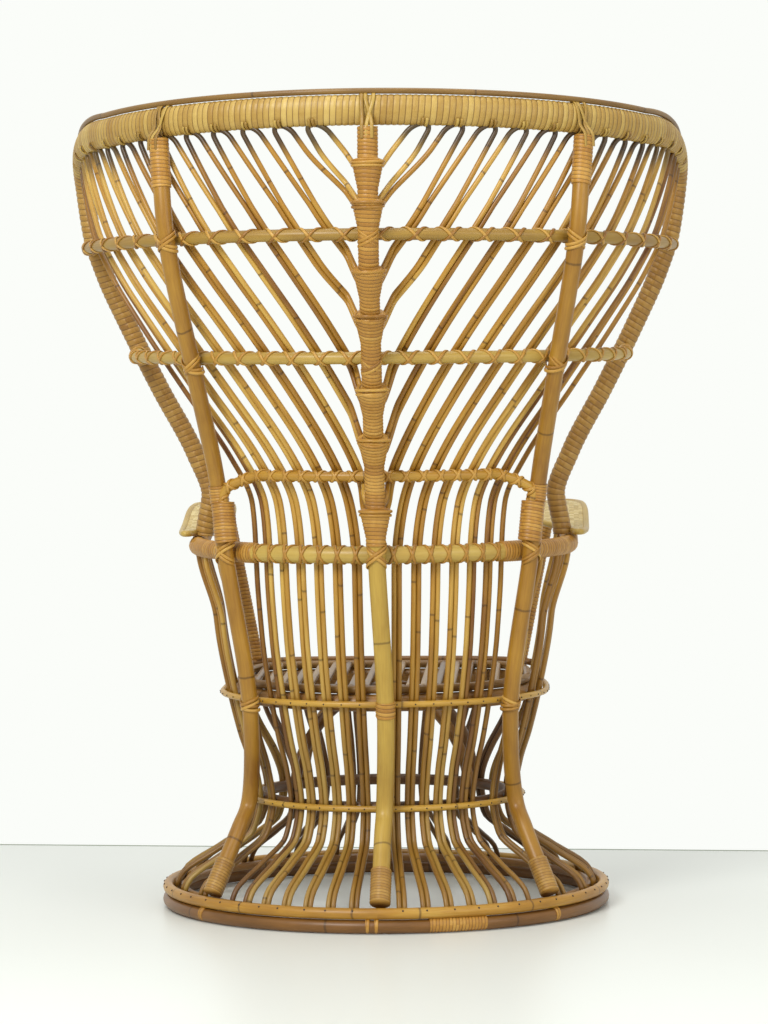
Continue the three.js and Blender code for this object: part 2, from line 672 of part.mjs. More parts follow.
// A pole hoop inside the waist carries two crossed arches that hold up the seat
const waistInset = CANE + CLEARANCE + WAIST_POLE / Math.cos(Math.PI / BAND_SIDES);
const waistLoop = roundTurn.map((azimuth) => (
  station(levelPlace(azimuth, LOWER_HOOP_HEIGHT, -waistInset), UP, WAIST_POLE)));
addPiece('inner_waist_hoop', hoop(waistLoop, BAND_SIDES), BROWN);
const archHalfWidth = caneRadius(LOWER_HOOP_HEIGHT) - waistInset;
const archFoot = LOWER_HOOP_HEIGHT + WAIST_POLE + CLEARANCE;
const archTop = slatHeight - SLAT - CLEARANCE - ARCH_POLE;

function arch(turn) {
  const level = new THREE.Vector3(Math.sin(rad(turn)), Math.cos(rad(turn)), 0);
  const line = spread(-90, 90, PATH_STATIONS).map((angle) => {
    const outward = level.clone().multiplyScalar(Math.sin(rad(angle))).setZ(Math.cos(rad(angle)));
    const height = lerp(archFoot, archTop, Math.cos(rad(angle)));
    const centre = level.clone().multiplyScalar(archHalfWidth * Math.sin(rad(angle))).setZ(height);
    return station(centre, outward, ARCH_POLE);
  });
  return pole(thin(line), HOOP_SIDES);
}

addPiece('under_seat_arch', joined([arch(-ARCH_TURN), arch(ARCH_TURN)]), BROWN);

// Canes up the skirt from the base rings
function skirtCane(azimuth, top, spreadAt = Infinity, reach = 0) {
  const passed = [...caneHeights, SQUARE_FULL].sort((a, b) => a - b);
  const heights = [...passed.filter((height) => height < top - CANE), top];
  const line = heights.map((height) => (
    layerStation(azimuth, height, reach * ease(height, spreadAt, top), CANE)));
  return pole(line, CANE_SIDES);
}

// Pairs of azimuths spread evenly between two limits, each pair almost touching
function pairedAzimuths(first, last, count) {
  const half = degreesFor(CANE + PAIR_SPLIT + CLEARANCE, LOWER_HOOP_HEIGHT);
  const pairs = count / 2;
  return spread(first, last, pairs - 1).flatMap((middle) => [middle - half, middle + half]);
}

const frontFrom = FRONT_AZIMUTH - FRONT_SPAN / 2;
const frontTo = FRONT_AZIMUTH + FRONT_SPAN / 2;
const frontRail = spread(frontFrom, frontTo, PATH_STATIONS).map((azimuth) => (
  layerStation(azimuth, FRONT_EDGE_HEIGHT, 0, SKIRT_RAIL)));
const frontCanes = pairedAzimuths(frontFrom + PAIR_STEP, frontTo - PAIR_STEP, FRONT_CANES).map((azimuth) => (
  skirtCane(azimuth, FRONT_EDGE_HEIGHT)));
addPiece('front_skirt', joined([pole(thin(frontRail), HOOP_SIDES), ...frontCanes]), TAN);

// Side panels: a rail from the post forward under the arm, with the side canes let into it
const armLift = (y) => ARM_RISE * ease(-y, 0, ARM_RISE_LENGTH);

function onArmRail(azimuth) {
  const point = place(azimuth, ARM_RAIL_HEIGHT, outside(ARM_RAIL));
  point.z += armLift(point.y);
  return point;
}

const strutTop = onArmRail(STRUT_TOP_AZIMUTH);
const strutFoot = place(STRUT_FOOT_AZIMUTH, FRONT_EDGE_HEIGHT);
const sideRailEnd = STRUT_TOP_AZIMUTH - degreesFor(STRUT, ARM_RAIL_HEIGHT) / squareness(
  STRUT_TOP_AZIMUTH, ARM_RAIL_HEIGHT);
const sideRailLine = spread(SIDE_RAIL_START, sideRailEnd, PATH_STATIONS).map((azimuth) => (
  station(onArmRail(azimuth), UP, ARM_RAIL)));

function sidePanel() {
  const canes = pairedAzimuths(SIDE_FIRST, SIDE_LAST, SIDE_CANES).map((azimuth) => {
    const top = onArmRail(azimuth).z;
    return skirtCane(azimuth, top, SIDE_SPREAD_HEIGHT, outside(ARM_RAIL));
  });
  return joined([pole(thin(sideRailLine), HOOP_SIDES), ...canes]);
}

function mirroredSolid(geometry, side) {
  if (side > 0) return geometry;
  const position = Array.from(geometry.attributes.position.array);
  const across = position.map((value, index) => (index % 3 === 0 ? -value : value));
  return solid(across, Array.from(geometry.index.array));
}

// Arm pad: an edge cane round a flat woven panel, wide in front and narrow beside the limb
const padWidth = (y) => lerp(PAD_TAIL_WIDTH, PAD_WIDTH, ease(-y, -PAD_STEP_REAR, -PAD_STEP_FRONT));

function padEdges(y, inset = 0) {
  const rear = PAD_REAR - inset;
  const front = PAD_FRONT + inset;
  const slant = Math.hypot(1, (padWidth(y + 1) - padWidth(y - 1)) / 2);
  const outer = PAD_OUTER - inset;
  const inner = PAD_OUTER - padWidth(y) + inset * slant;
  const middle = (outer + inner) / 2;
  const half = (outer - inner) / 2;
  const rearRound = Math.max(y - (rear - PAD_TAIL_WIDTH / 2), 0) / (PAD_TAIL_WIDTH / 2);
  const frontRound = Math.max(front + PAD_WIDTH / 2 - y, 0) / (PAD_WIDTH / 2);
  const round = Math.sqrt(Math.max(1 - Math.max(rearRound, frontRound) ** 2, 0));
  return [middle - half * round, middle + half * round];
}

const padHeight = (y) => ARM_RAIL_HEIGHT + armLift(y) + ARM_RAIL + CROSSING + ARM_EDGE;

// Rows from rear to front, closer together where the ends are round
const padRows = (inset, count) => spread(0, 180, count).map((angle) => (
  lerp(PAD_REAR - inset, PAD_FRONT + inset, (1 - Math.cos(rad(angle))) / 2)));

function armEdge() {
  const rows = padRows(0, 4 * PATH_STATIONS);
  const edge = (side) => rows.map((y) => (
    station(new THREE.Vector3(padEdges(y)[side], y, padHeight(y)), UP, ARM_EDGE)));
  const outer = edge(1);
  const inner = [...edge(0).slice(1, -1).reverse(), outer[0]];
  const loop = [...thin(outer).slice(0, -1), ...thin([outer[outer.length - 1], ...inner]).slice(0, -1)];
  return pole(loop, CANE_SIDES, true);
}

function armWeave() {
  const inset = ARM_EDGE + WEAVE_GAP;
  const rows = padRows(inset, WEAVE_ROWS).slice(1, -1);
  const rings = rows.map((y) => {
    const [inner, outer] = padEdges(y, inset);
    const [low, high] = [padHeight(y) - PAD_THICKNESS / 2, padHeight(y) + PAD_THICKNESS / 2];
    return [[inner, low], [outer, low], [outer, high], [inner, high]].map(([x, z]) => (
      new THREE.Vector3(x, y, z)));
  });
  return loft(rings);
}

function armStrut() {
  const along = strutTop.clone().sub(strutFoot).normalize();
  const lower = strutFoot.clone().addScaledVector(along, SKIRT_RAIL + STRUT / 2 + CLEARANCE);
  const upper = strutTop.clone().addScaledVector(along, ARM_RAIL - STRUT / 2 - CLEARANCE);
  const towardsRail = onArmRail(sideRailEnd).sub(strutTop).normalize();
  return pole([lower, upper].map((point) => station(point, towardsRail, STRUT)), HOOP_SIDES);
}

const panel = sidePanel();
const edge = armEdge();
const weave = armWeave();
const strut = armStrut();
for (const [name, side] of SIDES) {
  addPiece(`${name}_side_panel`, mirroredSolid(panel, side), TAN);
  addPiece(`${name}_arm_edge`, mirroredSolid(edge, side), HONEY);
  addPiece(`${name}_arm_weave`, mirroredSolid(weave, side), STRAW);
  addPiece(`${name}_arm_strut`, mirroredSolid(strut, side), BINDING);
}

// Windings: one unbroken cane round a pole, with a straight end one diameter long
function winding(line, poleRadius, wrap, turns, pitch, startAt) {
  const curve = new THREE.CatmullRomCurve3(line.map(({ point }) => point));
  curve.arcLengthDivisions = 100 * line.length;
  const total = curve.getLength();
  const corner = poleRadius / Math.cos(Math.PI / BAND_SIDES);
  const reach = (corner + CLEARANCE / 2 + wrap) / Math.cos(Math.PI / TURN_STEPS);
  let across = new THREE.Vector3(1, 0, 0);
  const points = range(turns * TURN_STEPS + 1).map((step) => {
    const share = (startAt + (pitch * step) / TURN_STEPS) / total;
    const centre = curve.getPointAt(share);
    const along = curve.getTangentAt(share);
    across = across.addScaledVector(along, -across.dot(along)).normalize().clone();
    const angle = (2 * Math.PI * step) / TURN_STEPS;
    const sideways = along.clone().cross(across);
    const radial = across.clone().multiplyScalar(Math.cos(angle)).addScaledVector(sideways, Math.sin(angle));
    return station(centre.addScaledVector(radial, reach), radial, wrap);
  });
  const straight = (end, next) => {
    const onward = end.point.clone().sub(next.point).normalize();
    return station(end.point.clone().addScaledVector(onward, 2 * wrap), end.normal, wrap);
  };
  const last = points.length - 1;
  return [straight(points[0], points[1]), ...points, straight(points[last], points[last - 1])];
}

// Least gap between turns, measured between points at least half a turn apart
function leastGap(points, wrap) {
  let least = Infinity;
  points.forEach(({ point }, index) => {
    points.slice(index + TURN_STEPS / 2).forEach((other) => {
      least = Math.min(least, point.distanceTo(other.point) - 2 * wrap);
    });
  });
  return least;
}

function addWinding(name, points, wrap) {
  console.log(`${name}: least gap between turns ${leastGap(points, wrap).toFixed(2)} mm`);
  addPiece(name, pole(points, CANE_SIDES), BINDING);
}

const spineWinding = winding(spineLine, SPINE, FOOT_WRAP, FOOT_TURNS, FOOT_PITCH, FOOT_START);
addWinding('spine_foot_winding', spineWinding, FOOT_WRAP);
const footTurns = winding(leftPostLine, POST, FOOT_WRAP, FOOT_TURNS, FOOT_PITCH, FOOT_START);
for (const [name, side] of SIDES) addWinding(`${name}_foot_winding`, mirrored(footTurns, side), FOOT_WRAP);

// The origin is under the middle of the chair's box, on the floor
const box = new THREE.Box3().setFromObject(chair);
chair.position.set(0, -(box.min.y + box.max.y) / 2, -box.min.z);

export default chair;
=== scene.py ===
"""Peacock chair of bent rattan: smooth canes, poles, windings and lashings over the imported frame.

The chair's surfaces are carried along paths on one layer round a vertical axis. Sizes are in millimetres
in the chair's own axis frame, and each mesh is moved to the row frame in metres when it is made.
"""

import bpy
import numpy as np
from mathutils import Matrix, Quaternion, Vector


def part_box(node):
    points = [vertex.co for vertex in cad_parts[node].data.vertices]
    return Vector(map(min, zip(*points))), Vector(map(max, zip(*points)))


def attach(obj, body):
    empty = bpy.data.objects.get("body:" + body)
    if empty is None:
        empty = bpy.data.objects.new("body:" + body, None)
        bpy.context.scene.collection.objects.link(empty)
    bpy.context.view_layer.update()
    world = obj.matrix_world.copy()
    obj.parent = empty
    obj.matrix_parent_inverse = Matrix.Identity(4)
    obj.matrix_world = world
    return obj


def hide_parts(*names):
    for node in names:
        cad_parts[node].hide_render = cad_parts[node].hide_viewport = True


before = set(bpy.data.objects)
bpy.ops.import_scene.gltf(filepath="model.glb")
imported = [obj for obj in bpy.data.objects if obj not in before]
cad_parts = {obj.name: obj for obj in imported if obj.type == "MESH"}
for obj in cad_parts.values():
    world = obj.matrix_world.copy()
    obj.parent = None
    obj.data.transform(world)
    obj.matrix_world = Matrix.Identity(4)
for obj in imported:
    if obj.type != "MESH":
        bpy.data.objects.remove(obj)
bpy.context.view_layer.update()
BASE_LOW, BASE_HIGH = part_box("base_hoop")
AXIS_Y = 500 * (BASE_LOW.y + BASE_HIGH.y)
RANDOM = np.random.default_rng(7)

# Radii and gaps of the canes and poles
CANE = 3.25
CROSSING = 1.05
CLEARANCE = 0.5
POST_GAP = 0.6
BASE_POLE, BASE_OUTER, BASE_INNER = 9.5, 8.0, 6.0
WAIST, WAIST_POLE = 4.5, 8.0
POST, SPINE = 11.5, 12.0
TOP_RAIL, MIDDLE_RAIL, LUMBAR_RAIL, ARM_RAIL = 9.5, 9.5, 8.0, 13.0
LIMB, RIM_HALF, RIM_CAP = 11.0, 20.5, 4.0
SEAT_POLE, SEAT_EDGE, SLAT, SKIRT_RAIL, ARCH = 12.0, 6.0, 5.0, 5.0, 8.0
ARM_EDGE, STRUT = 4.5, 9.0

# Heights and angles
BASE_RADIUS = 320.0
LOWER_HOOP, UPPER_HOOP = 157.0, 306.0
ARM_Z, LUMBAR_Z, MIDDLE_Z, TOP_Z, TOP_DROOP = 515.0, 628.0, 792.0, 954.0, 15.0
RIM_Z, RIM_DROOP, CORNER_Z, CORNER_START = 1115.0, 40.0, 80.0, 60.0
LIMB_AZIMUTH, LIMB_TURN, LIMB_LANDING = 88.0, 70.0, 8.0
FOOT_BEND = 17.0
PAIR_STEP = 6.3
SQUARE_START, SQUARE_FULL = 162.0, 282.0

RING_Z = 2 * BASE_POLE + CLEARANCE + BASE_OUTER
INNER_RING_Z = 2 * BASE_POLE + CLEARANCE + BASE_INNER
OUTER_RING_R = BASE_RADIUS - BASE_OUTER
FOOT_R = OUTER_RING_R - BASE_OUTER - CROSSING - CANE
INNER_RING_R = FOOT_R - CANE - CROSSING - BASE_INNER
MERIDIAN = np.array([
    (RING_Z, FOOT_R), (RING_Z + FOOT_BEND, FOOT_R - 2 * CANE), (81, 240), (112, 198), (157, 186.5),
    (206, 194.5), (249, 208), (306, 222), (399, 239), (512, 248), (582, 246), (646, 268), (739, 317),
    (832, 363), (901, 394), (962, 413), (1072, 426), (1152, 430)], float)


def ease(value, start, end):
    """Smooth step from 0 at start to 1 at end."""
    t = np.clip((np.asarray(value, float) - start) / (end - start), 0, 1)
    return t * t * (3 - 2 * t)


def hermite(t, start, end, leaving, arriving):
    """Cubic between two values, with the slopes at which it leaves the one and arrives at the other."""
    return ((2 * t**3 - 3 * t**2 + 1) * start + (3 * t**2 - 2 * t**3) * end
            + (t**3 - 2 * t**2 + t) * leaving + (t**3 - t**2) * arriving)


def curve_value(points, at):
    """Cubic through points, each with the harmonic mean of the slopes beside it, so it never overshoots."""
    x, y = points[:, 0], points[:, 1]
    grade = np.diff(y) / np.diff(x)
    slope = np.zeros(len(x))
    same = grade[:-1] * grade[1:] > 0
    total = np.where(same, grade[:-1] + grade[1:], 1)
    slope[1:-1] = np.where(same, 2 * grade[:-1] * grade[1:] / total, 0)
    at = np.asarray(at, float)
    k = np.clip(np.searchsorted(x, at) - 1, 0, len(x) - 2)
    span = x[k + 1] - x[k]
    t = np.clip((at - x[k]) / span, 0, 1)
    return hermite(t, y[k], y[k + 1], span * slope[k], span * slope[k + 1])


def layer_radius(z):
    """Radius of the cane layer at a height."""
    return curve_value(MERIDIAN, z)


def degrees_for(length, z):
    """Angle round the axis that a length along the layer takes up."""
    return np.degrees(length / layer_radius(z))


def squared(azimuth):
    """Radius of the squared outline as a multiple of the round one's."""
    turn = np.radians(azimuth)
    return (np.sin(turn) ** 4 + np.cos(turn) ** 4) ** -0.25


def front_share(cosine, z):
    """How far the outline is squared: not at all behind, and fully in front above the waist."""
    return np.where(cosine < 0, ease(z, SQUARE_START, SQUARE_FULL), 0)


def plan_normal(azimuth, z):
    """Level outward direction: along the radius behind, square to the squared outline in front."""
    a = np.radians(azimuth)
    a, z = np.broadcast_arrays(a, np.asarray(z, float))
    around = np.stack([np.sin(a), np.cos(a)], -1)
    square = around**3
    square = square / np.linalg.norm(square, axis=-1, keepdims=True)
    share = front_share(around[..., 1], z)[..., None]
    mixed = around * (1 - share) + square * share
    mixed = mixed / np.linalg.norm(mixed, axis=-1, keepdims=True)
    return np.concatenate([mixed, np.zeros_like(mixed[..., :1])], -1)


def outward(azimuth, z):
    """Outward normal of the cane layer."""
    rise = layer_radius(np.asarray(z, float) + 0.5) - layer_radius(np.asarray(z, float) - 0.5)
    length = np.hypot(1, rise)
    normal = plan_normal(azimuth, z) / np.asarray(length)[..., None]
    normal[..., 2] = -rise / length
    return normal


def place(azimuth, z, offset=0.0, level=False):
    """Point at an azimuth and height, moved out from the layer by an offset along its normal, or level."""
    a, z, offset = np.broadcast_arrays(*(np.asarray(value, float) for value in (azimuth, z, offset)))
    sine, cosine = np.sin(np.radians(a)), np.cos(np.radians(a))
    radius = layer_radius(z) * (1 + (squared(a) - 1) * front_share(cosine, z))
    point = np.stack([radius * sine, radius * cosine, z], -1)
    normal = outward(a, z)
    if level:
        flat = plan_normal(a, z)
        return point + flat * (offset / np.sum(normal * flat, -1))[..., None]
    return point + normal * offset[..., None]


def mirror(points, side):
    """Points or directions on the other side of the middle plane where side is -1."""
    return points * np.array([side, 1.0, 1.0])


def length_along(path):
    """Length of a path up to each of its points."""
    return np.concatenate([[0], np.cumsum(np.linalg.norm(np.diff(path, axis=0), axis=1))])


def resample(points, step):
    """Points along a smooth curve through the given ones, evenly spaced by about step."""
    at = length_along(points)
    want = np.linspace(0, at[-1], int(np.ceil(at[-1] / step)) + 1)
    return np.stack([curve_value(np.stack([at, points[:, k]], 1), want) for k in range(3)], 1)


def unit(vectors):
    """Vectors of length 1."""
    return vectors / np.maximum(np.linalg.norm(vectors, axis=-1, keepdims=True), 1e-12)


def tangents(path, closed=False):
    """Direction of a path at each of its points."""
    if closed:
        return unit(np.roll(path, -1, 0) - np.roll(path, 1, 0))
    return unit(np.gradient(path, axis=0))


def tube_grid(rings, sides):
    """Ring and side of each face round a row of rings, and the corners of the faces that fill an end."""
    i, j = np.meshgrid(np.arange(rings), np.arange(sides), indexing="ij")
    k = np.arange(sides // 2 - 1)
    return i.ravel(), j.ravel(), np.stack([k, k + 1, sides - 2 - k, sides - 1 - k], 1)


STRIP_ROUNDNESS = 0.6


class Skin:
    """Four-sided faces for one piece; each corner has a tone, a length along, a share around and a darkening
    for scorch and painted shade.
    """

    def __init__(self):
        self.points, self.quads, self.values, self.count = [], [], [], 0

    def add(self, points, quads, values):
        """Takes in points, faces as indices into them, and four values for each face corner."""
        self.points.append(np.asarray(points, float).reshape(-1, 3))
        self.quads.append(np.asarray(quads) + self.count)
        self.values.append(np.asarray(values, float))
        self.count += len(self.points[-1])

    def sweep(self, path, tall, thick, ref, sides, tone, closed=False, pitch=0.0, relief=0.0, scorch_and_shade=0.0):
        """Elliptical section carried along a path: half sizes tall across and thick along ref's side.

        With a pitch the skin is grooved like a wound strip: each turn stands proud by relief between grooves
        that climb one pitch in one turn, and the length along is counted in turns.
        """
        path = np.asarray(path, float)
        rings = len(path)
        way = tangents(path, closed)
        across = unit(np.cross(np.broadcast_to(ref, path.shape), way))
        out = np.cross(way, across)
        share = np.arange(sides) / sides
        ends = np.concatenate([path, path[:1]]) if closed else path
        along = length_along(ends)
        tall = np.broadcast_to(np.asarray(tall, float), rings)[:, None]
        thick = np.broadcast_to(np.asarray(thick, float), rings)[:, None]
        if pitch:
            along = along / pitch
            turn = along[:rings, None] + share
            groove = relief * (np.abs(np.sin(np.pi * turn)) ** STRIP_ROUNDNESS - 1)
            tall, thick = tall + groove, thick + groove
        x, y = tall * np.cos(2 * np.pi * share), thick * np.sin(2 * np.pi * share)
        points = path[:, None] + x[..., None] * across[:, None] + y[..., None] * out[:, None]
        i, j, end = tube_grid(rings if closed else rings - 1, sides)
        following, beside = (i + 1) % rings, (j + 1) % sides
        near, far = i * sides, following * sides
        quads = np.stack([near + j, near + beside, far + beside, far + j], 1)
        low, high = along[i], along[i + 1]
        tones, scorches_and_shades = (np.broadcast_to(np.asarray(value, float), rings) for value in (tone, scorch_and_shade))
        values = np.stack([
            np.stack([tones[i]] * 4, 1),
            np.stack([low, low, high, high], 1),
            np.stack([share[j], share[j] + 1 / sides, share[j] + 1 / sides, share[j]], 1),
            np.stack([scorches_and_shades[i], scorches_and_shades[i], scorches_and_shades[following], scorches_and_shades[following]], 1)], 2)
        if not closed:
            quads = np.concatenate([quads, end[:, ::-1], end + (rings - 1) * sides])
            caps = np.full((2 * len(end), 4, 4), 0.5)
            caps[:, :, 0], caps[:, :, 3] = tones[0], scorches_and_shades[0]
            caps[:len(end), :, 1], caps[len(end):, :, 1] = along[0], along[-1]
            values = np.concatenate([values, caps])
        self.add(points, quads, values)

    def piece(self, name, material, slot, *nodes):
        """Makes the mesh in the row frame, lets it ride on the chair and stand for the given nodes."""
        points = (np.concatenate(self.points) + np.array([0, AXIS_Y, 0])) / 1000
        quads, values = np.concatenate(self.quads), np.concatenate(self.values)
        mesh = bpy.data.meshes.new(name)
        mesh.vertices.add(len(points))
        mesh.vertices.foreach_set("co", points.astype(np.float32).ravel())
        mesh.loops.add(quads.size)
        mesh.loops.foreach_set("vertex_index", quads.astype(np.int32).ravel())
        mesh.polygons.add(len(quads))
        mesh.polygons.foreach_set("loop_start", np.arange(0, quads.size, 4, dtype=np.int32))
        mesh.update(calc_edges=True)
        mesh.polygons.foreach_set("use_smooth", np.ones(len(quads), bool))
        for k, label in enumerate(("tone", "along", "around", "scorch_and_shade")):
            layer = mesh.attributes.new(label, "FLOAT", "CORNER")
            layer.data.foreach_set("value", values[:, :, k].astype(np.float32).ravel())
        mesh.materials.append(material)
        obj = bpy.data.objects.new(name, mesh)
        bpy.context.scene.collection.objects.link(obj)
        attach(obj, "root")
        if nodes:
            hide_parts(*nodes)


def colour(red, green, blue):
    """Linear colour from display values of 0 to 255."""
    c = np.array([red, green, blue]) / 255
    return (*np.where(c <= 0.04045, c / 12.92, ((c + 0.055) / 1.055) ** 2.4), 1.0)


COAT_ROUGHNESS, SHEEN, BUMP_STRENGTH = 0.25, 0.4, 0.5


class Shader:
    """A material's node tree, with one short call for each kind of node."""

    def __init__(self, name):
        self.material = bpy.data.materials.new(name)
        self.material.use_nodes = True
        self.tree = self.material.node_tree
        self.tree.nodes.clear()

    def node(self, kind, settings, *inputs):
        """Adds a node, sets its options and fills its inputs with links or constants."""
        made = self.tree.nodes.new("ShaderNode" + kind)
        for key, value in settings.items():
            setattr(made, key, value)
        for key, value in inputs:
            if isinstance(value, bpy.types.NodeSocket):
                self.tree.links.new(value, made.inputs[key])
            else:
                made.inputs[key].default_value = value
        return made

    def attribute(self, name):
        """Value of one of the skin's four attributes."""
        return self.node("Attribute", {"attribute_name": name}).outputs["Fac"]

    def math(self, operation, a, b=0.0):
        """One sum of one or two values."""
        return self.node("Math", {"operation": operation}, (0, a), (1, b)).outputs[0]

    def combine(self, x, y, z):
        """Vector of three values."""
        return self.node("CombineXYZ", {}, ("X", x), ("Y", y), ("Z", z)).outputs[0]

    def noise(self, vector, scale, detail):
        """Soft noise at a place."""
        inputs = ("Vector", vector), ("Scale", scale), ("Detail", detail)
        return self.node("TexNoise", {}, *inputs).outputs["Fac"]

    def step(self, value, start, end, low=0.0, high=1.0):
        """Smooth step between two values."""
        inputs = (0, value), (1, start), (2, end), (3, low), (4, high)
        return self.node("MapRange", {"interpolation_type": "SMOOTHSTEP"}, *inputs).outputs[0]

    def mix(self, share, a, b):
        """Second colour laid over the first by a share."""
        inputs = ("Factor", share), (6, a), (7, b)
        return self.node("Mix", {"data_type": "RGBA"}, *inputs).outputs[2]

    def ramp(self, value, *colours):
        """Colour from evenly spaced stops."""
        made = self.node("ValToRGB", {}, ("Fac", value))
        stops = made.color_ramp.elements
        while len(stops) < len(colours):
            stops.new(0.5)
        for k, shade in enumerate(colours):
            stops[k].position = k / (len(colours) - 1)
            stops[k].color = shade
        return made.outputs["Color"]

    def finish(self, base, roughness, height=None, depth=0.0, coat=0.0):
        """Connects the surface, with an optional bump."""
        surface = self.node("BsdfPrincipled", {}, ("Base Color", base), ("Roughness", roughness),
                            ("Coat Weight", coat), ("Coat Roughness", COAT_ROUGHNESS),
                            ("Specular IOR Level", SHEEN))
        if height is not None:
            bump = self.node("Bump", {}, ("Strength", BUMP_STRENGTH), ("Distance", depth), ("Height", height))
            self.tree.links.new(bump.outputs[0], surface.inputs["Normal"])
        output = self.node("OutputMaterial", {})
        self.tree.links.new(surface.outputs[0], output.inputs["Surface"])
        return self.material


# Cane finish: shares of the tone, the patches and the fibres in the shade, their scales, and the growth rings
TONE_SHARE, PATCH_SHARE, FIBRE_SHARE, SHADE_DROP, TONE_SHIFT = 0.62, 0.8, 0.3, 0.36, 91.0
PATCH_STRETCH, PATCH_GIRTH, PATCH_DETAIL = 0.011, 0.35, 3.0
FIBRE_STRETCH, FIBRE_GIRTH, FIBRE_SCALE, FIBRE_DETAIL = 0.02, 3.2, 1.6, 2.0
RING_HALF, RING_FADE, RING_SHARE, RING_SHADE, RING_SHIFT, RING_WANDER = 0.6, 2.4, 0.6, 0.3, 7.3, 0.03
CANE_ROUGHNESS, CANE_COAT, CANE_BUMP = 0.4, 0.08, 0.00015
# Near-black of scorched bends, also mixed in as painted shade on the canes towards the floor
SCORCH_AND_SHADE_COLOUR = colour(44, 33, 22)

# Winding finish: shares of each turn's tone and of slow patches in the shade, and the painted shade in the
# groove between turns
TURN_SHARE, SLOW_SHARE, TURN_DROP = 0.42, 0.62, 0.2
TURN_SEED, SLOW_STEP, SLOW_SHIFT = 977.0, 0.16, 53.0
STRAND_STRETCH, STRAND_GIRTH, STRAND_SCALE = 0.37, 2.0, 1.5
GROOVE_START, GROOVE_END, GROOVE_SHADE_SHARE = 0.36, 0.5, 0.85
WORN_TONE = 0.5
WINDING_ROUGHNESS, WINDING_COAT, WINDING_BUMP = 0.46, 0.08, 0.0003


def round_coordinate(shader, along, around, tone, stretch, girth):
    """Texture place on a pole: the share around as a circle of a girth, the length along stretched."""
    turn = shader.math("MULTIPLY", around, 2 * np.pi)
    x = shader.math("MULTIPLY", along, stretch)
    y = shader.math("MULTIPLY", shader.math("COSINE", turn), girth)
    z = shader.math("MULTIPLY", shader.math("SINE", turn), girth)
    return shader.combine(shader.math("ADD", x, shader.math("MULTIPLY", tone, TONE_SHIFT)), y, z)


def cane_material(name, dark, middle, light, ring_gap=0.0, roughness=CANE_ROUGHNESS, coat=CANE_COAT):
    """Lacquered cane: its own tone, slow patches, long fibres, dark rings a gap apart, scorched bends and
    painted shade.
    """
    s = Shader(name)
    tone, along, around = s.attribute("tone"), s.attribute("along"), s.attribute("around")
    patch_place = round_coordinate(s, along, around, tone, PATCH_STRETCH, PATCH_GIRTH)
    patches = s.noise(patch_place, 1.0, PATCH_DETAIL)
    fibre_place = round_coordinate(s, along, around, tone, FIBRE_STRETCH, FIBRE_GIRTH)
    fibres = s.noise(fibre_place, FIBRE_SCALE, FIBRE_DETAIL)
    shade = s.math("ADD", s.math("MULTIPLY", tone, TONE_SHARE), s.math("MULTIPLY", patches, PATCH_SHARE))
    shade = s.math("ADD", shade, s.math("MULTIPLY", fibres, FIBRE_SHARE))
    base = s.ramp(s.math("SUBTRACT", shade, SHADE_DROP), dark, middle, light)
    if ring_gap:
        gaps = s.math("ADD", s.math("DIVIDE", along, ring_gap), s.math("MULTIPLY", tone, RING_SHIFT))
        gaps = s.math("ADD", gaps, s.math("MULTIPLY", patches, RING_WANDER))
        from_ring = s.math("ABSOLUTE", s.math("SUBTRACT", s.math("FRACT", gaps), 0.5))
        ring = s.step(s.math("MULTIPLY", from_ring, ring_gap), RING_HALF, RING_FADE, RING_SHARE, 0.0)
        base = s.mix(ring, base, tuple(RING_SHADE * c for c in dark[:3]) + (1.0,))
    # Scorched bends and the painted shade towards the floor both mix in the near-black colour
    base = s.mix(s.attribute("scorch_and_shade"), base, SCORCH_AND_SHADE_COLOUR)
    return s.finish(base, roughness, fibres, CANE_BUMP, coat)


def wound_material(name, groove, shades, worn=None):
    """Wound strips: each turn has its own tone within slow patches, and the groove between turns has painted
    shade.

    A tone above a half takes the worn shades where these are given.
    """
    s = Shader(name)
    tone, along, around = s.attribute("tone"), s.attribute("along"), s.attribute("around")
    turn = s.math("ADD", along, around)
    index = s.math("FLOOR", turn)
    seed = s.math("ADD", index, s.math("MULTIPLY", tone, TURN_SEED))
    own = s.node("TexWhiteNoise", {"noise_dimensions": "1D"}, ("W", seed)).outputs["Value"]
    slow_place = s.combine(s.math("MULTIPLY", index, SLOW_STEP), s.math("MULTIPLY", tone, SLOW_SHIFT), 0.0)
    slow = s.noise(slow_place, 1.0, 1.0)
    strand_place = round_coordinate(s, index, around, tone, STRAND_STRETCH, STRAND_GIRTH)
    fibres = s.noise(strand_place, STRAND_SCALE, FIBRE_DETAIL)
    shade = s.math("ADD", s.math("MULTIPLY", own, TURN_SHARE), s.math("MULTIPLY", slow, SLOW_SHARE))
    shade = s.math("ADD", shade, s.math("MULTIPLY", fibres, FIBRE_SHARE))
    shade = s.math("SUBTRACT", shade, TURN_DROP)
    base = s.ramp(shade, *shades)
    if worn:
        base = s.mix(s.math("GREATER_THAN", tone, WORN_TONE), base, s.ramp(shade, *worn))
    edge = s.math("ABSOLUTE", s.math("SUBTRACT", s.math("FRACT", turn), 0.5))
    # Painted shade darkens the groove between turns
    base = s.mix(s.step(edge, GROOVE_START, GROOVE_END, 0.0, GROOVE_SHADE_SHARE), base, groove)
    return s.finish(base, WINDING_ROUGHNESS, fibres, WINDING_BUMP, WINDING_COAT)


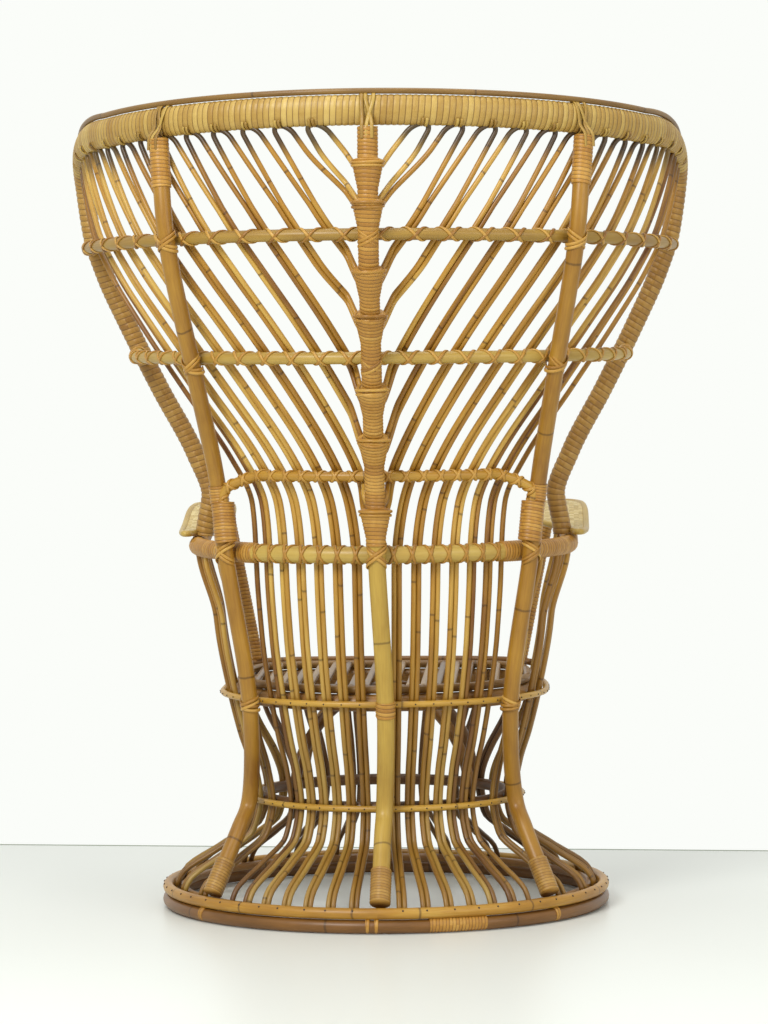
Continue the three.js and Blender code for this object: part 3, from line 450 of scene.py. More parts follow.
# The finishes, each from dark to light, with the gap between growth rings
TAN = cane_material("tan cane", colour(104, 58, 14), colour(176, 128, 42), colour(218, 182, 92), 170)
HONEY = cane_material("honey pole", colour(118, 72, 18), colour(172, 126, 40), colour(206, 166, 72), 260)
GOLD = cane_material("gold pole", colour(150, 112, 36), colour(192, 158, 68), colour(212, 182, 96), 300)
CREAM = cane_material("cream pole", colour(166, 130, 56), colour(202, 174, 88), colour(220, 200, 120))
STRAW = cane_material("straw pole", colour(122, 84, 30), colour(166, 132, 56), colour(196, 166, 84))
BROWN = cane_material("brown pole", colour(78, 48, 16), colour(128, 86, 34), colour(164, 120, 56), 240)
OLIVE = cane_material("olive cane", colour(96, 64, 24), colour(138, 104, 48), colour(164, 134, 74), 300)
DARK = cane_material("dark pole", colour(60, 36, 14), colour(88, 56, 22), colour(116, 80, 36), 300)
BINDING = cane_material("binding strip", colour(134, 88, 28), colour(178, 130, 50), colour(208, 166, 82))
SLATS = cane_material("seat slat", colour(84, 56, 22), colour(130, 94, 42), colour(168, 132, 70), 230)
WORN = colour(134, 92, 34), colour(168, 126, 56), colour(194, 156, 82)
# The first colour of each winding is the painted shade in its grooves
PALE = wound_material("pale winding", colour(104, 72, 26),
                      (colour(148, 106, 38), colour(186, 152, 76), colour(216, 188, 110)), WORN)
AMBER = wound_material("amber winding", colour(84, 50, 16),
                       (colour(146, 96, 34), colour(180, 130, 50), colour(208, 164, 82)))
IRON = cane_material("nail head", colour(44, 30, 20), colour(58, 40, 26), colour(74, 52, 34),
                     roughness=0.5, coat=0.0)

UP, REARWARD, FORWARD = np.array([0.0, 0.0, 1.0]), np.array([0.0, 1.0, 0.0]), np.array([0.0, -1.0, 0.0])
SIDES = (("left", 1), ("right", -1))


def tone():
    """A tone for one cane."""
    return float(RANDOM.uniform(0, 1))


def outside(radius):
    """Offset of a rail's centre that lies on the canes."""
    return CANE + CROSSING + radius


def beyond(rail, radius):
    """Offset of a post's centre that lies on a rail."""
    return outside(rail) + rail + POST_GAP + radius


FULL_TURN = np.linspace(0, 2 * np.pi, 240, endpoint=False)


def circle(radius, z, turn=FULL_TURN):
    """Level circle round the axis, or its points at some angles."""
    return np.stack([radius * np.sin(turn), radius * np.cos(turn), np.full(len(turn), z)], 1)


def single(name, path, radius, ref, material, slot, *nodes, sides=12, closed=False, shade=None, scorch_and_shade=0.0):
    """One plain pole, of a given or any tone."""
    skin = Skin()
    skin.sweep(path, radius, radius, ref, sides, tone() if shade is None else shade, closed, scorch_and_shade=scorch_and_shade)
    skin.piece(name, material, slot, *nodes)


# Base hoop and the two rings that hold the cane feet
BASE_SHADE, OUTER_RING_SHADE = 0.3, 0.45
single("base_pole", circle(BASE_RADIUS - BASE_POLE, BASE_POLE), BASE_POLE, UP, BROWN, "dark_pole",
       "base_hoop", sides=16, closed=True, shade=BASE_SHADE)
single("outer_ring", circle(OUTER_RING_R, RING_Z), BASE_OUTER, UP, TAN, "honey_pole",
       "base_ring_outer", closed=True, shade=OUTER_RING_SHADE)
single("inner_ring", circle(INNER_RING_R, INNER_RING_Z), BASE_INNER, UP, BROWN, "dark_pole",
       "base_ring_inner", closed=True)

# Waist hoops
TURN = np.linspace(-180, 180, 240, endpoint=False)
for label, z in (("lower", LOWER_HOOP), ("upper", UPPER_HOOP)):
    single(f"{label}_hoop", place(TURN, z, outside(WAIST), level=True), WAIST, UP, HONEY, "honey_pole",
           f"{label}_waist_hoop", closed=True)


def drooped(z, droop, azimuth):
    """Height of a rail that droops away from the middle."""
    return z - droop * (1 - np.cos(np.radians(azimuth)))


def rim_height(azimuth):
    """Height of the rim's middle line."""
    return drooped(RIM_Z, RIM_DROOP, azimuth)


def half_hoop():
    """Azimuth, height, offset and half height along the left half of the back hoop, from its middle down."""
    limb_top = rim_height(CORNER_START) - CORNER_Z
    limb_foot = ARM_Z + ARM_RAIL + CLEARANCE
    a = np.linspace(0, CORNER_START, 90)
    turn = np.radians(np.linspace(0, 90, 60)[1:])
    down = np.linspace(limb_top, limb_foot, 140)[1:]
    azimuth = np.concatenate([a, CORNER_START + (LIMB_AZIMUTH - CORNER_START) * np.sin(turn),
                              np.full(len(down), LIMB_AZIMUTH)])
    z = np.concatenate([rim_height(a), limb_top + CORNER_Z * np.cos(turn), down])
    offset = LIMB_LANDING * (1 - ease(z, limb_foot, limb_foot + LIMB_TURN))
    narrowing = RIM_HALF + (LIMB - RIM_HALF) * ease(np.degrees(turn), 0, 90)
    tall = np.concatenate([np.full(len(a), RIM_HALF), narrowing, np.full(len(down), LIMB)])
    return azimuth, z, offset, tall


def along_path(path, *others, step):
    """Path and other values at even steps of its length."""
    length = length_along(path)
    want = np.linspace(0, length[-1], int(np.ceil(length[-1] / step)) + 1)
    columns = [np.interp(want, length, path[:, k]) for k in range(3)]
    made = [np.stack(columns, 1)]
    for other in others:
        if other.ndim == 1:
            made.append(np.interp(want, length, other))
        else:
            made.append(unit(np.stack([np.interp(want, length, other[:, k]) for k in range(3)], 1)))
    return made


# Back hoop: a wound band along the rim that narrows into wound limbs, with a thin cane on its upper edge
HOOP_A, HOOP_Z, HOOP_OFF, HOOP_TALL = half_hoop()
half_path, half_normal = place(HOOP_A, HOOP_Z, HOOP_OFF), outward(HOOP_A, HOOP_Z)
hoop_path = np.concatenate([mirror(half_path[:0:-1], -1), half_path])
hoop_normal = np.concatenate([mirror(half_normal[:0:-1], -1), half_normal])
hoop_tall = np.concatenate([HOOP_TALL[:0:-1], HOOP_TALL])
RIM_PITCH, RIM_RELIEF, LIMB_PADDING = 8.2, 1.1, 2.4
RIM_TONE, LIMB_TONE, LIMB_MARGIN, CAP_MARGIN = 0.35, 0.8, 2.0, 0.3
path, normal, tall = along_path(hoop_path, hoop_normal, hoop_tall, step=RIM_PITCH / 6)
skin = Skin()
padding = LIMB_PADDING * (1 - ease(tall, LIMB, RIM_HALF))
tones = np.where(tall > LIMB + LIMB_MARGIN, RIM_TONE, LIMB_TONE)
skin.sweep(path, tall + padding, LIMB + padding, normal, 20, tones, pitch=RIM_PITCH, relief=RIM_RELIEF)
skin.piece("rim_winding", PALE, "straw_cane", "back_hoop")
edge = tangents(hoop_path)
rising = unit(np.cross(edge, hoop_normal))
capped = hoop_tall > LIMB + CAP_MARGIN
cap = hoop_path + rising * (hoop_tall + CLEARANCE + RIM_CAP)[:, None]
single("rim_cane", along_path(cap[capped], step=6)[0], RIM_CAP, UP, OLIVE, "dark_pole", "rim_cap")


# Rails across the back, each with two strips wound round it
RAIL_END_SINK, RAIL_SINK_ANGLE, RAIL_SHORT = 11.0, 10.0, 5.0
STRIP_HALF_WIDTH, STRIP_HALF_DEPTH, STRIP_BED, RAIL_BED = 2.3, 1.2, 0.4, 1.2
HELIX_STEPS = 18


def back_rail(z, droop, radius):
    """Path and normals of a rail across the back between the limbs, with its ends drawn in to them."""
    end = LIMB_AZIMUTH - degrees_for(LIMB + CLEARANCE + RAIL_SHORT, z)
    azimuth = np.linspace(-end, end, 200)
    height = drooped(z, droop, azimuth)
    sunk = RAIL_END_SINK * ease(np.abs(azimuth), end - RAIL_SINK_ANGLE, end)
    return place(azimuth, height, outside(radius) - sunk), outward(azimuth, height)


def helix(skin, path, normal, radius, pitch, phase, hand):
    """Flat strip wound round a pole: its angle grows by one turn in each pitch, one way or the other."""
    path, normal = along_path(path, normal, step=pitch / HELIX_STEPS)
    way = tangents(path)
    across = unit(np.cross(normal, way))
    out = np.cross(way, across)
    angle = (hand * 2 * np.pi * length_along(path) / pitch + phase)[:, None]
    facing = np.cos(angle) * across + np.sin(angle) * out
    skin.sweep(path + facing * radius, STRIP_HALF_WIDTH, STRIP_HALF_DEPTH, facing, 6, tone())


def lashed_rail(name, path, normal, radius, pitch, material=STRAW):
    """Rail with two flat strips wound round it in opposite ways, so that they cross in a row of diamonds."""
    line, facing = along_path(path, normal, step=5)
    single(f"{name}_pole", line, radius - RAIL_BED, facing, material, "straw_cane", name, sides=14)
    strips = Skin()
    for hand, phase in ((1, 0.0), (-1, np.pi)):
        helix(strips, path, normal, radius - STRIP_BED, pitch, phase, hand)
    strips.piece(f"{name}_lashing", BINDING, "binding_cane")


def pair_pitch(z, radius):
    """Distance along a rail between two pairs of canes."""
    return float(np.radians(PAIR_STEP) * (layer_radius(z) + outside(radius)))


for label, z, droop, radius in (("top_rail", TOP_Z, TOP_DROOP, TOP_RAIL),
                                ("middle_rail", MIDDLE_Z, 0.0, MIDDLE_RAIL)):
    path, normal = back_rail(z, droop, radius)
    lashed_rail(label, path, normal, radius, pair_pitch(z, radius))

# Posts and spine: a line through a foot on the base rings and a place outside each hoop and rail
FLARE_Z, FOOT_TILT, LINE_STEPS = 92.0, 40.0, 40
FLARE_STAND_OFF, WAIST_STAND_OFF, ARM_EASE, LUMBAR_EASE = 25.0, 10.0, 1.6, 6.0
POST_LEAN = np.array([
    (0, 51), (FLARE_Z, 55), (LOWER_HOOP, 58), (UPPER_HOOP, 47.5), (ARM_Z, 46.5), (LUMBAR_Z, 49),
    (MIDDLE_Z, 41.4), (TOP_Z, 38.2), (RIM_Z, 40.6)])
SPINE_LEAN = np.array([
    (0, -0.6), (LOWER_HOOP, -1.8), (UPPER_HOOP, -2.4), (ARM_Z, -0.3), (LUMBAR_Z, 0), (RIM_Z, 0)])


def catmull(points, count):
    """Curve through points whose pace between two is the square root of their distance."""
    ends = np.concatenate([2 * points[:1] - points[1:2], points, 2 * points[-1:] - points[-2:-1]])
    pace = np.sqrt(np.linalg.norm(np.diff(ends, axis=0), axis=1))
    spans = []
    for k in range(len(points) - 1):
        p, d = ends[k:k + 4], np.maximum(pace[k:k + 3], 1e-4)
        first = ((p[1] - p[0]) / d[0] - (p[2] - p[0]) / (d[0] + d[1]) + (p[2] - p[1]) / d[1]) * d[1]
        second = ((p[2] - p[1]) / d[1] - (p[3] - p[1]) / (d[1] + d[2]) + (p[3] - p[2]) / d[2]) * d[1]
        t = np.linspace(0, 1, count, endpoint=False)[:, None]
        spans.append(hermite(t, p[1], p[2], first, second))
    return np.concatenate([*spans, points[-1:]])


def post_line(radius, lean):
    """Centre line of a post from foot to head, whose azimuth follows a table by height."""
    foot_z = RING_Z + BASE_OUTER + CLEARANCE / 2 + radius * np.cos(np.radians(FOOT_TILT))
    foot = circle(FOOT_R, foot_z, np.radians(lean[:1, 1]))
    head = rim_height(lean[-1, 1]) - RIM_HALF - 2 * CLEARANCE
    resting = CANE + CLEARANCE + radius
    stops = np.array([
        (FLARE_Z, resting + FLARE_STAND_OFF), (LOWER_HOOP, beyond(WAIST, radius) + WAIST_STAND_OFF),
        (UPPER_HOOP, beyond(WAIST, radius)),
        (ARM_Z, beyond(ARM_RAIL, radius) + ARM_EASE), (LUMBAR_Z, beyond(LUMBAR_RAIL, radius) + LUMBAR_EASE),
        (MIDDLE_Z, beyond(MIDDLE_RAIL, radius)), (TOP_Z, beyond(TOP_RAIL, radius)), (head, resting)])
    through = place(curve_value(lean, stops[:, 0]), stops[:, 0], stops[:, 1])
    return catmull(np.concatenate([foot, through]), LINE_STEPS)


def on_line(line, z):
    """Points of a rising line at heights."""
    return np.stack([np.interp(z, line[:, 2], line[:, k]) for k in range(3)], -1)


def radial(path):
    """Level direction away from the axis."""
    return unit(path * np.array([1, 1, 0]))


def between(line, low, high, step):
    """Part of a line between two heights."""
    inner = line[(line[:, 2] > low) & (line[:, 2] < high)]
    return along_path(np.concatenate([on_line(line, [low]), inner, on_line(line, [high])]), step=step)[0]


WRAP_RELIEF, WORN_TURNS = 0.9, 0.8


def wrap(skin, path, radius, pitch, worn=False):
    """Winding on a pole: closed turns whose outside has the given radius, even or changing along the path."""
    own = WORN_TURNS if worn else tone()
    skin.sweep(path, radius, radius, radial(path), 16, own, pitch=pitch, relief=WRAP_RELIEF)


def wound(name, path, radius, pitch, material, *nodes, worn=False):
    """One piece that is a single winding."""
    skin = Skin()
    wrap(skin, path, radius, pitch, worn)
    skin.piece(name, material, "binding_cane", *nodes)


SPINE_LINE = post_line(SPINE, SPINE_LEAN)
LEFT_LINE = post_line(POST, POST_LEAN)
POLES = (("spine", SPINE_LINE, SPINE, SPINE_LEAN, 1), ("left", LEFT_LINE, POST, POST_LEAN, 1),
         ("right", mirror(LEFT_LINE, -1), POST, POST_LEAN, -1))

# Spine: bare below the arm rail, wound above it, with a cup and two collars where each pair of canes comes in
BARE_TOP, WOUND_FOOT, CANE_END = 20.0, 14.0, 8.0
CUPS = np.array([1048.0, 994.0, 904.0, 844.0, 745.0, 676.0, 578.0])
CUP_DEPTH, CUP_TAPER, CUP_LIP, SPINE_WRAP, SPINE_PITCH = 8.0, 38.0, 3.0, 2.0, 5.2
COLLAR, COLLAR_DROPS, COLLAR_TILT = 2.2, (2.0, 7.0), 0.1
single("spine_pole", between(SPINE_LINE, SPINE_LINE[0, 2], ARM_Z + BARE_TOP, step=5), SPINE, REARWARD, GOLD,
       "honey_pole", "spine_post", sides=16)
path = between(SPINE_LINE, ARM_Z + WOUND_FOOT, SPINE_LINE[-1, 2], step=0.8)
below = CUPS[None] - path[:, 2:]
cup = np.clip(1 - np.maximum(below / CUP_TAPER, -below / CUP_LIP), 0, 1).max(1)
wound("spine_winding", path, SPINE + SPINE_WRAP + CUP_DEPTH * cup, SPINE_PITCH, AMBER)
skin = Skin()
turn = np.linspace(0, 2 * np.pi, 40, endpoint=False)
for z in CUPS:
    for drop in COLLAR_DROPS:
        middle = on_line(SPINE_LINE, z - drop)
        wide = SPINE + SPINE_WRAP + CUP_DEPTH * (1 - drop / CUP_TAPER)
        tilt, swing = RANDOM.uniform(-COLLAR_TILT, COLLAR_TILT), RANDOM.uniform(0.5, 1.5)
        ring = np.stack([np.sin(turn), np.cos(turn), tilt * np.sin(turn + swing)], 1)
        skin.sweep(middle + wide * ring, COLLAR, COLLAR, UP, 8, tone(), closed=True)
skin.piece("spine_collars", BINDING, "binding_cane")

# Posts, with windings at the head, the shoulder and the foot
HEAD_WRAP, HEAD_GAP, HEAD_DEPTH, HEAD_PITCH = 66.0, 1.0, 2.2, 5.4
SHOULDER, SHOULDER_TOP, SHOULDER_FOOT, SHOULDER_SHIFT = 584.0, 609.0, 530.0, 4.0
SHOULDER_DEPTH, SHOULDER_BULGE, SHOULDER_PITCH = 2.0, 5.0, 4.6
FOOT_WRAP_END, FOOT_REACH, FOOT_DEPTH, FOOT_PITCH = 46.0, 6.0, 2.6, 4.4
POST_SHADES = {"left": 0.3, "right": 0.25}
for label, side in SIDES:
    line = mirror(LEFT_LINE, side)
    path = along_path(line, step=5)[0]
    single(f"{label}_pole", path, POST, radial(path), HONEY, "honey_pole", f"{label}_post", sides=16,
           shade=POST_SHADES[label])
    head = line[-1, 2]
    skin = Skin()
    wrap(skin, between(line, head - HEAD_WRAP, head - HEAD_GAP, step=0.9), POST + HEAD_DEPTH, HEAD_PITCH)
    wrap(skin, between(line, SHOULDER, SHOULDER_TOP, step=0.8), POST + SHOULDER_DEPTH, SHOULDER_PITCH)
    inwards = np.array([-side * SHOULDER_SHIFT, SHOULDER_SHIFT, 0])
    path = between(line, SHOULDER_FOOT, SHOULDER, step=0.8) + inwards
    wrap(skin, path, POST + SHOULDER_BULGE, SHOULDER_PITCH)
    skin.piece(f"{label}_post_winding", AMBER, "binding_cane")
for label, line, radius, *_ in POLES:
    reached = line[:1] + FOOT_REACH * unit(line[:1] - line[1:2])
    part = np.concatenate([reached, line[length_along(line) < FOOT_WRAP_END]])
    wound(f"{label}_foot_turns", along_path(part, step=0.7)[0], radius + FOOT_DEPTH, FOOT_PITCH, PALE,
          f"{label}_foot_winding", worn=True)


def azimuth_of(point):
    """Azimuth of a point."""
    return float(np.degrees(np.arctan2(point[0], point[1])))


# Lumbar rail between sockets in the shoulder windings, and arm rail past the posts with wound ends
SOCKET, SOCKET_ENTRY, SOCKET_END, LUMBAR_POINTS = 8.0, 16.0, -12.0, 25
LUMBAR_TIGHTER, ARM_TIGHTER = 0.8, 0.85
END_WRAP, END_DEPTH, END_PITCH = 44.0, 1.6, 4.8
lumbar_end = azimuth_of(on_line(LEFT_LINE, LUMBAR_Z - 2 * LUMBAR_RAIL))
lumbar_end -= degrees_for(POST + LUMBAR_RAIL, LUMBAR_Z)
straight = np.linspace(-1, 1, LUMBAR_POINTS) * (lumbar_end - degrees_for(4 * LUMBAR_RAIL, LUMBAR_Z))
socket = on_line(LEFT_LINE, SHOULDER + np.array([SOCKET_ENTRY, SOCKET_END])) + np.array([-SOCKET, SOCKET, 0])
middle = place(straight, LUMBAR_Z, outside(LUMBAR_RAIL))
path = catmull(np.concatenate([mirror(socket[::-1], -1), middle, socket]), 12)
pitch = pair_pitch(LUMBAR_Z, LUMBAR_RAIL) * LUMBAR_TIGHTER
lashed_rail("lumbar_rail", path, radial(path), LUMBAR_RAIL, pitch, HONEY)
arm_end = azimuth_of(on_line(LEFT_LINE, ARM_Z)) + degrees_for(POST, ARM_Z)
azimuth = np.linspace(-arm_end, arm_end, 200)
path, normal = place(azimuth, ARM_Z, outside(ARM_RAIL)), outward(azimuth, ARM_Z)
lashed_rail("arm_rail", path, normal, ARM_RAIL, pair_pitch(ARM_Z, ARM_RAIL) * ARM_TIGHTER, CREAM)
for label, part in (("left", path[::-1]), ("right", path)):
    end = along_path(part[length_along(part) < END_WRAP], step=0.9)[0]
    wound(f"{label}_end_winding", end, ARM_RAIL + END_DEPTH, END_PITCH, AMBER)

# Fan canes: each runs up, turns over under the rim and comes down in the next pair
FIRST_PAIR, HAIRPINS, PAIRS_AT_SPINE = PAIR_STEP, 13, 7
FAN_BOTTOM, FAN_EASE, PAIRS_OVER_FAN = 488.0, 160.0, 7.3
PAIRS_PER_MM = PAIRS_OVER_FAN / (RIM_Z - FAN_BOTTOM - FAN_EASE / 2)
PAIR_SPLIT, LOOP, LOOP_SPREAD, LOOP_RISE = 0.35, 13.0, 90.0, 8.0
# The second value is the strength of the painted shade on the canes towards the floor
PAIR_PRESS, LOW_SHADE = 0.1, 0.4
SNUG = CANE + PAIR_SPLIT + PAIR_PRESS
BURN, BURN_START, INNER_BURN, OUTER_BURN = 0.9, 0.35, 30.0, 52.0
PALE_FROM, PALE_TO, PALER = 8, 12, 0.5
TUCK_START, DRAW_LENGTH, TUCK_ANGLE, CUP_SLACK = 34.0, 80.0, 35.0, 5.0
RAILS = (LUMBAR_Z, LUMBAR_RAIL), (MIDDLE_Z, MIDDLE_RAIL), (TOP_Z, TOP_RAIL)
TUCK_REACH = SPINE + CANE + CLEARANCE
TUCK_END = TUCK_REACH * np.cos(np.radians(TUCK_ANGLE))


def pair_azimuth(pair, z):
    """Azimuth of a pair: the row stands one step apart and slides towards the spine below the rim."""
    above = np.maximum(np.asarray(z, float) - FAN_BOTTOM, 0)
    eased = np.where(above < FAN_EASE, above**2 / (2 * FAN_EASE), above - FAN_EASE / 2)
    return FIRST_PAIR + PAIR_STEP * (pair - PAIRS_AT_SPINE + PAIRS_PER_MM * eased)


def cane_lean(z):
    """Length of a leaning cane for each millimetre of the upright line beside it."""
    z = np.asarray(z, float)
    low = place(pair_azimuth(0, z - 1), z - 1)
    upright = np.linalg.norm(place(pair_azimuth(0, z - 1), z + 1) - low, axis=-1)
    return np.linalg.norm(place(pair_azimuth(0, z + 1), z + 1) - low, axis=-1) / upright


def leg_azimuth(hairpin, leg, apex, z):
    """Azimuth of one leg of a hairpin: a round turn at the top, then an even spread into the pairs."""
    below = apex - np.asarray(z, float)
    apart = np.radians(PAIR_STEP / 2) * layer_radius(z) - (CANE + PAIR_SPLIT) * cane_lean(z)
    turning = np.sqrt(np.maximum(LOOP**2 - (LOOP - below) ** 2, 0))
    spreading = LOOP + (apart - LOOP) * np.clip((below - LOOP) / LOOP_SPREAD, 0, 1)
    reach = np.where(below < LOOP, turning, spreading)
    return pair_azimuth(hairpin + 0.5, z) + leg * degrees_for(reach, z)


def touching(pair, z):
    """Distance from the spine's plane to the far side of a pair."""
    return np.radians(pair_azimuth(pair, z)) * layer_radius(z) + (CANE + PAIR_SPLIT) * cane_lean(z)


def drawn_in(pair):
    """Height where a pair ends in its cup on the spine, and how far it is drawn in to get there."""
    end = CUPS[pair] - CANE_END
    return end, float(touching(pair, end) - TUCK_END)


DRAWN = [drawn_in(pair) for pair in range(PAIRS_AT_SPINE)]


def hairpin_apex(hairpin):
    """Highest turn that stays clear of the back hoop."""
    for apex in np.arange(MIDDLE_Z, RIM_Z):
        z = apex + 1 - np.linspace(0, LOOP + LOOP_SPREAD, 12)
        turn = np.concatenate([place(leg_azimuth(hairpin, leg, apex + 1, z), z) for leg in (-1, 1)])
        gap = np.linalg.norm(turn[:, None] - half_path[None], axis=2) - HOOP_TALL - CANE - CROSSING
        if gap.min() <= 0:
            return apex
    return RIM_Z


def spine_leg(hairpin, leg, apex, z, pull, end):
    """Azimuth and distance from the spine's plane of a leg that is drawn in to end at the spine."""
    pulled = pull * (1 - ease(z, end, end + DRAW_LENGTH))
    azimuth = leg_azimuth(hairpin, leg, apex, z) - degrees_for(pulled, z)
    return azimuth, np.radians(azimuth) * layer_radius(z)


def hairpin_leg(hairpin, leg, apex):
    """Path and normals of one leg, from the turn down to the base rings or to the side of the spine."""
    turn = apex - LOOP * np.linspace(0, 1, 10) ** 2
    z = np.concatenate([turn, np.arange(apex - LOOP - 4, RING_Z, -6), [RING_Z]])
    pair = hairpin + (leg + 1) // 2
    if pair >= PAIRS_AT_SPINE:
        azimuth = leg_azimuth(hairpin, leg, apex, z)
        return place(azimuth, z), outward(azimuth, z)
    z = np.concatenate([turn, np.arange(apex - LOOP - 3, FAN_BOTTOM, -3)])
    end, pull = DRAWN[pair]
    azimuth, across = spine_leg(hairpin, leg, apex, z, pull, end)
    kept = z >= end
    z, azimuth, across = z[kept], azimuth[kept], across[kept]
    normal = outward(azimuth, z)
    stands = (on_line(SPINE_LINE, z)[:, 1] - layer_radius(z)) * outward(np.zeros(len(z)), z)[:, 1]
    proud = stands - TUCK_REACH * np.sin(np.radians(TUCK_ANGLE))
    ceilings = [level - radius - 2 * CANE for level, radius in RAILS]
    ceiling = min([height for height in ceilings if height > z[-1]], default=RIM_Z)
    begin = max(min(TUCK_START, float(np.interp(ceiling, z[::-1], across[::-1]))), TUCK_END + CUP_SLACK)
    return place(azimuth, z, proud * (1 - ease(across, TUCK_END, begin))), normal


def scorch(apex, z, reach):
    """Burn of a bent cane: dark at its turn, fading out over a reach below."""
    return BURN * (1 - ease(apex - z, BURN_START * reach, reach))


def painted_low_shade(z):
    """Painted shade: cane darker towards the floor."""
    return LOW_SHADE * (1 - ease(z, LOWER_HOOP, ARM_Z))


# Bindings of the turns: the arc that each strip goes round, its room round the cane, and its size
TIE_ARC, TIE_LIFT, TIE_ROOM, TIE_DEPTH = (-195.0, 15.0), 5.0, 5.4, 0.8
TIE_SHIFTS, TIE_STRAY, TIE_HALF_WIDTH, TIE_HALF_DEPTH = (-2.6, 2.6), 0.5, 2.2, 1.0


def loop_binding(skin, hairpin, apex, side):
    """Strips that tie a turn to the back hoop: each goes round from the front, under the cane and up."""
    azimuth = pair_azimuth(hairpin + 0.5, apex)
    top, normal = place(azimuth, apex), outward(azimuth, apex)
    near = half_path[np.argmin(np.linalg.norm(half_path - top, axis=1))]
    upward = unit(near - top - normal * np.dot(near - top, normal))
    beside = np.cross(normal, upward)
    angle = np.radians(np.linspace(*TIE_ARC, 22))[:, None]
    loop = top + upward * TIE_LIFT
    loop = loop + normal * (LIMB + TIE_DEPTH) * np.cos(angle) + upward * (CANE + TIE_ROOM) * np.sin(angle)
    facing = normal * np.cos(angle) + upward * np.sin(angle)
    for shift in TIE_SHIFTS:
        path = loop + beside * (shift + RANDOM.uniform(-TIE_STRAY, TIE_STRAY))
        skin.sweep(mirror(path, side), TIE_HALF_WIDTH, TIE_HALF_DEPTH, mirror(facing, side), 6, tone())


bindings = Skin()
for hairpin in range(HAIRPINS):
    apex = hairpin_apex(hairpin) + LOOP_RISE
    inner, inner_normal = hairpin_leg(hairpin, -1, apex)
    outer, outer_normal = hairpin_leg(hairpin, 1, apex)
    path = np.concatenate([inner[::-1], outer[1:]])
    normal = np.concatenate([inner_normal[::-1], outer_normal[1:]])
    # Each leg darkens at its turn by scorch, and towards the floor by painted shade
    scorch_and_shade = np.concatenate([scorch(apex, inner[::-1, 2], INNER_BURN), scorch(apex, outer[1:, 2], OUTER_BURN)])
    scorch_and_shade = np.maximum(scorch_and_shade * (1 - PALER * ease(hairpin, PALE_FROM, PALE_TO)), painted_low_shade(path[:, 2]))
    for label, side in SIDES:
        loop_binding(bindings, hairpin, apex, side)
        single(f"{label}_cane_{hairpin + 1:02d}", mirror(path, side), SNUG, mirror(normal, side), TAN,
               "tan_cane", f"{label}_fan_cane_{hairpin + 1:02d}", sides=8, scorch_and_shade=scorch_and_shade)
bindings.piece("loop_bindings", STRAW, "binding_cane")

# Seat: a pole hoop inside the canes, an edge cane and slats on it, and crossed arches on a waist pole below
POLE_ROOM = 1 / np.cos(np.pi / 8)
SEAT_INSET, WAIST_INSET = (CANE + CLEARANCE + pole * POLE_ROOM for pole in (SEAT_POLE, WAIST_POLE))
SLAT_Z = UPPER_HOOP + SEAT_POLE + CLEARANCE + SEAT_EDGE
SLAT_PITCH = 20.0


def seat_line(azimuth, z):
    """Outline of the seat hoop at a height."""
    line = place(azimuth, UPPER_HOOP, -SEAT_INSET, level=True)
    line[..., 2] = z
    return line


single("seat_pole", seat_line(TURN, UPPER_HOOP), SEAT_POLE, UP, BROWN, "dark_pole", "seat_hoop", closed=True)
skin = Skin()
skin.sweep(seat_line(TURN, SLAT_Z), SEAT_EDGE, SEAT_EDGE, UP, 10, tone(), closed=True)
outline = seat_line(np.linspace(0, 180, 361), SLAT_Z)
half_slats = int((seat_line(90.0, SLAT_Z)[0] - SEAT_EDGE - SLAT) // SLAT_PITCH)
for k in range(-half_slats, half_slats + 1):
    within = outline[outline[:, 0] >= abs(k) * SLAT_PITCH]
    ends = np.linspace(within[0, 1], within[-1, 1], 12)
    line = np.stack([np.full(12, k * SLAT_PITCH), ends, np.full(12, SLAT_Z)], 1)
    skin.sweep(line, SLAT, SLAT, UP, 8, tone())
skin.piece("seat_slats", SLATS, "straw_cane", "seat_deck")
single("waist_pole", place(TURN, LOWER_HOOP, -WAIST_INSET, level=True), WAIST_POLE, UP, DARK, "dark_pole",
       "inner_waist_hoop", closed=True)
arch_foot, arch_top = LOWER_HOOP + WAIST_POLE + CLEARANCE, SLAT_Z - SLAT - CLEARANCE - ARCH
angle = np.radians(np.linspace(-90, 90, 60))
across = (layer_radius(LOWER_HOOP) - WAIST_INSET) * np.sin(angle)
skin = Skin()
for turn in np.radians((-45, 45)):
    height = arch_foot + (arch_top - arch_foot) * np.cos(angle)
    path = np.stack([across * np.sin(turn), across * np.cos(turn), height], 1)
    skin.sweep(path, ARCH, ARCH, np.array([np.cos(turn), -np.sin(turn), 0.0]), 12, tone())
skin.piece("seat_arches", BROWN, "dark_pole", "under_seat_arch")


def paired(first, last, count):
    """Azimuths of pairs of canes spread evenly between two limits."""
    half = degrees_for(CANE + 2 * CLEARANCE, LOWER_HOOP)
    middles = np.linspace(first, last, count // 2)
    return np.stack([middles - half, middles + half], 1).ravel()


def skirt_cane(skin, azimuth, top, spread_at=np.inf, reach=0.0, side=1):
    """Cane up the skirt from the base rings, with its top end led outwards to a rail."""
    z = np.linspace(RING_Z, top, int((top - RING_Z) / 7))
    offset = reach * ease(z, spread_at, top) if np.isfinite(spread_at) else 0 * z
    a = np.full(len(z), azimuth)
    path, normal = mirror(place(a, z, offset), side), mirror(outward(a, z), side)
    # The cane darkens towards the floor by painted shade
    skin.sweep(path, SNUG, SNUG, normal, 8, tone(), scorch_and_shade=painted_low_shade(z))


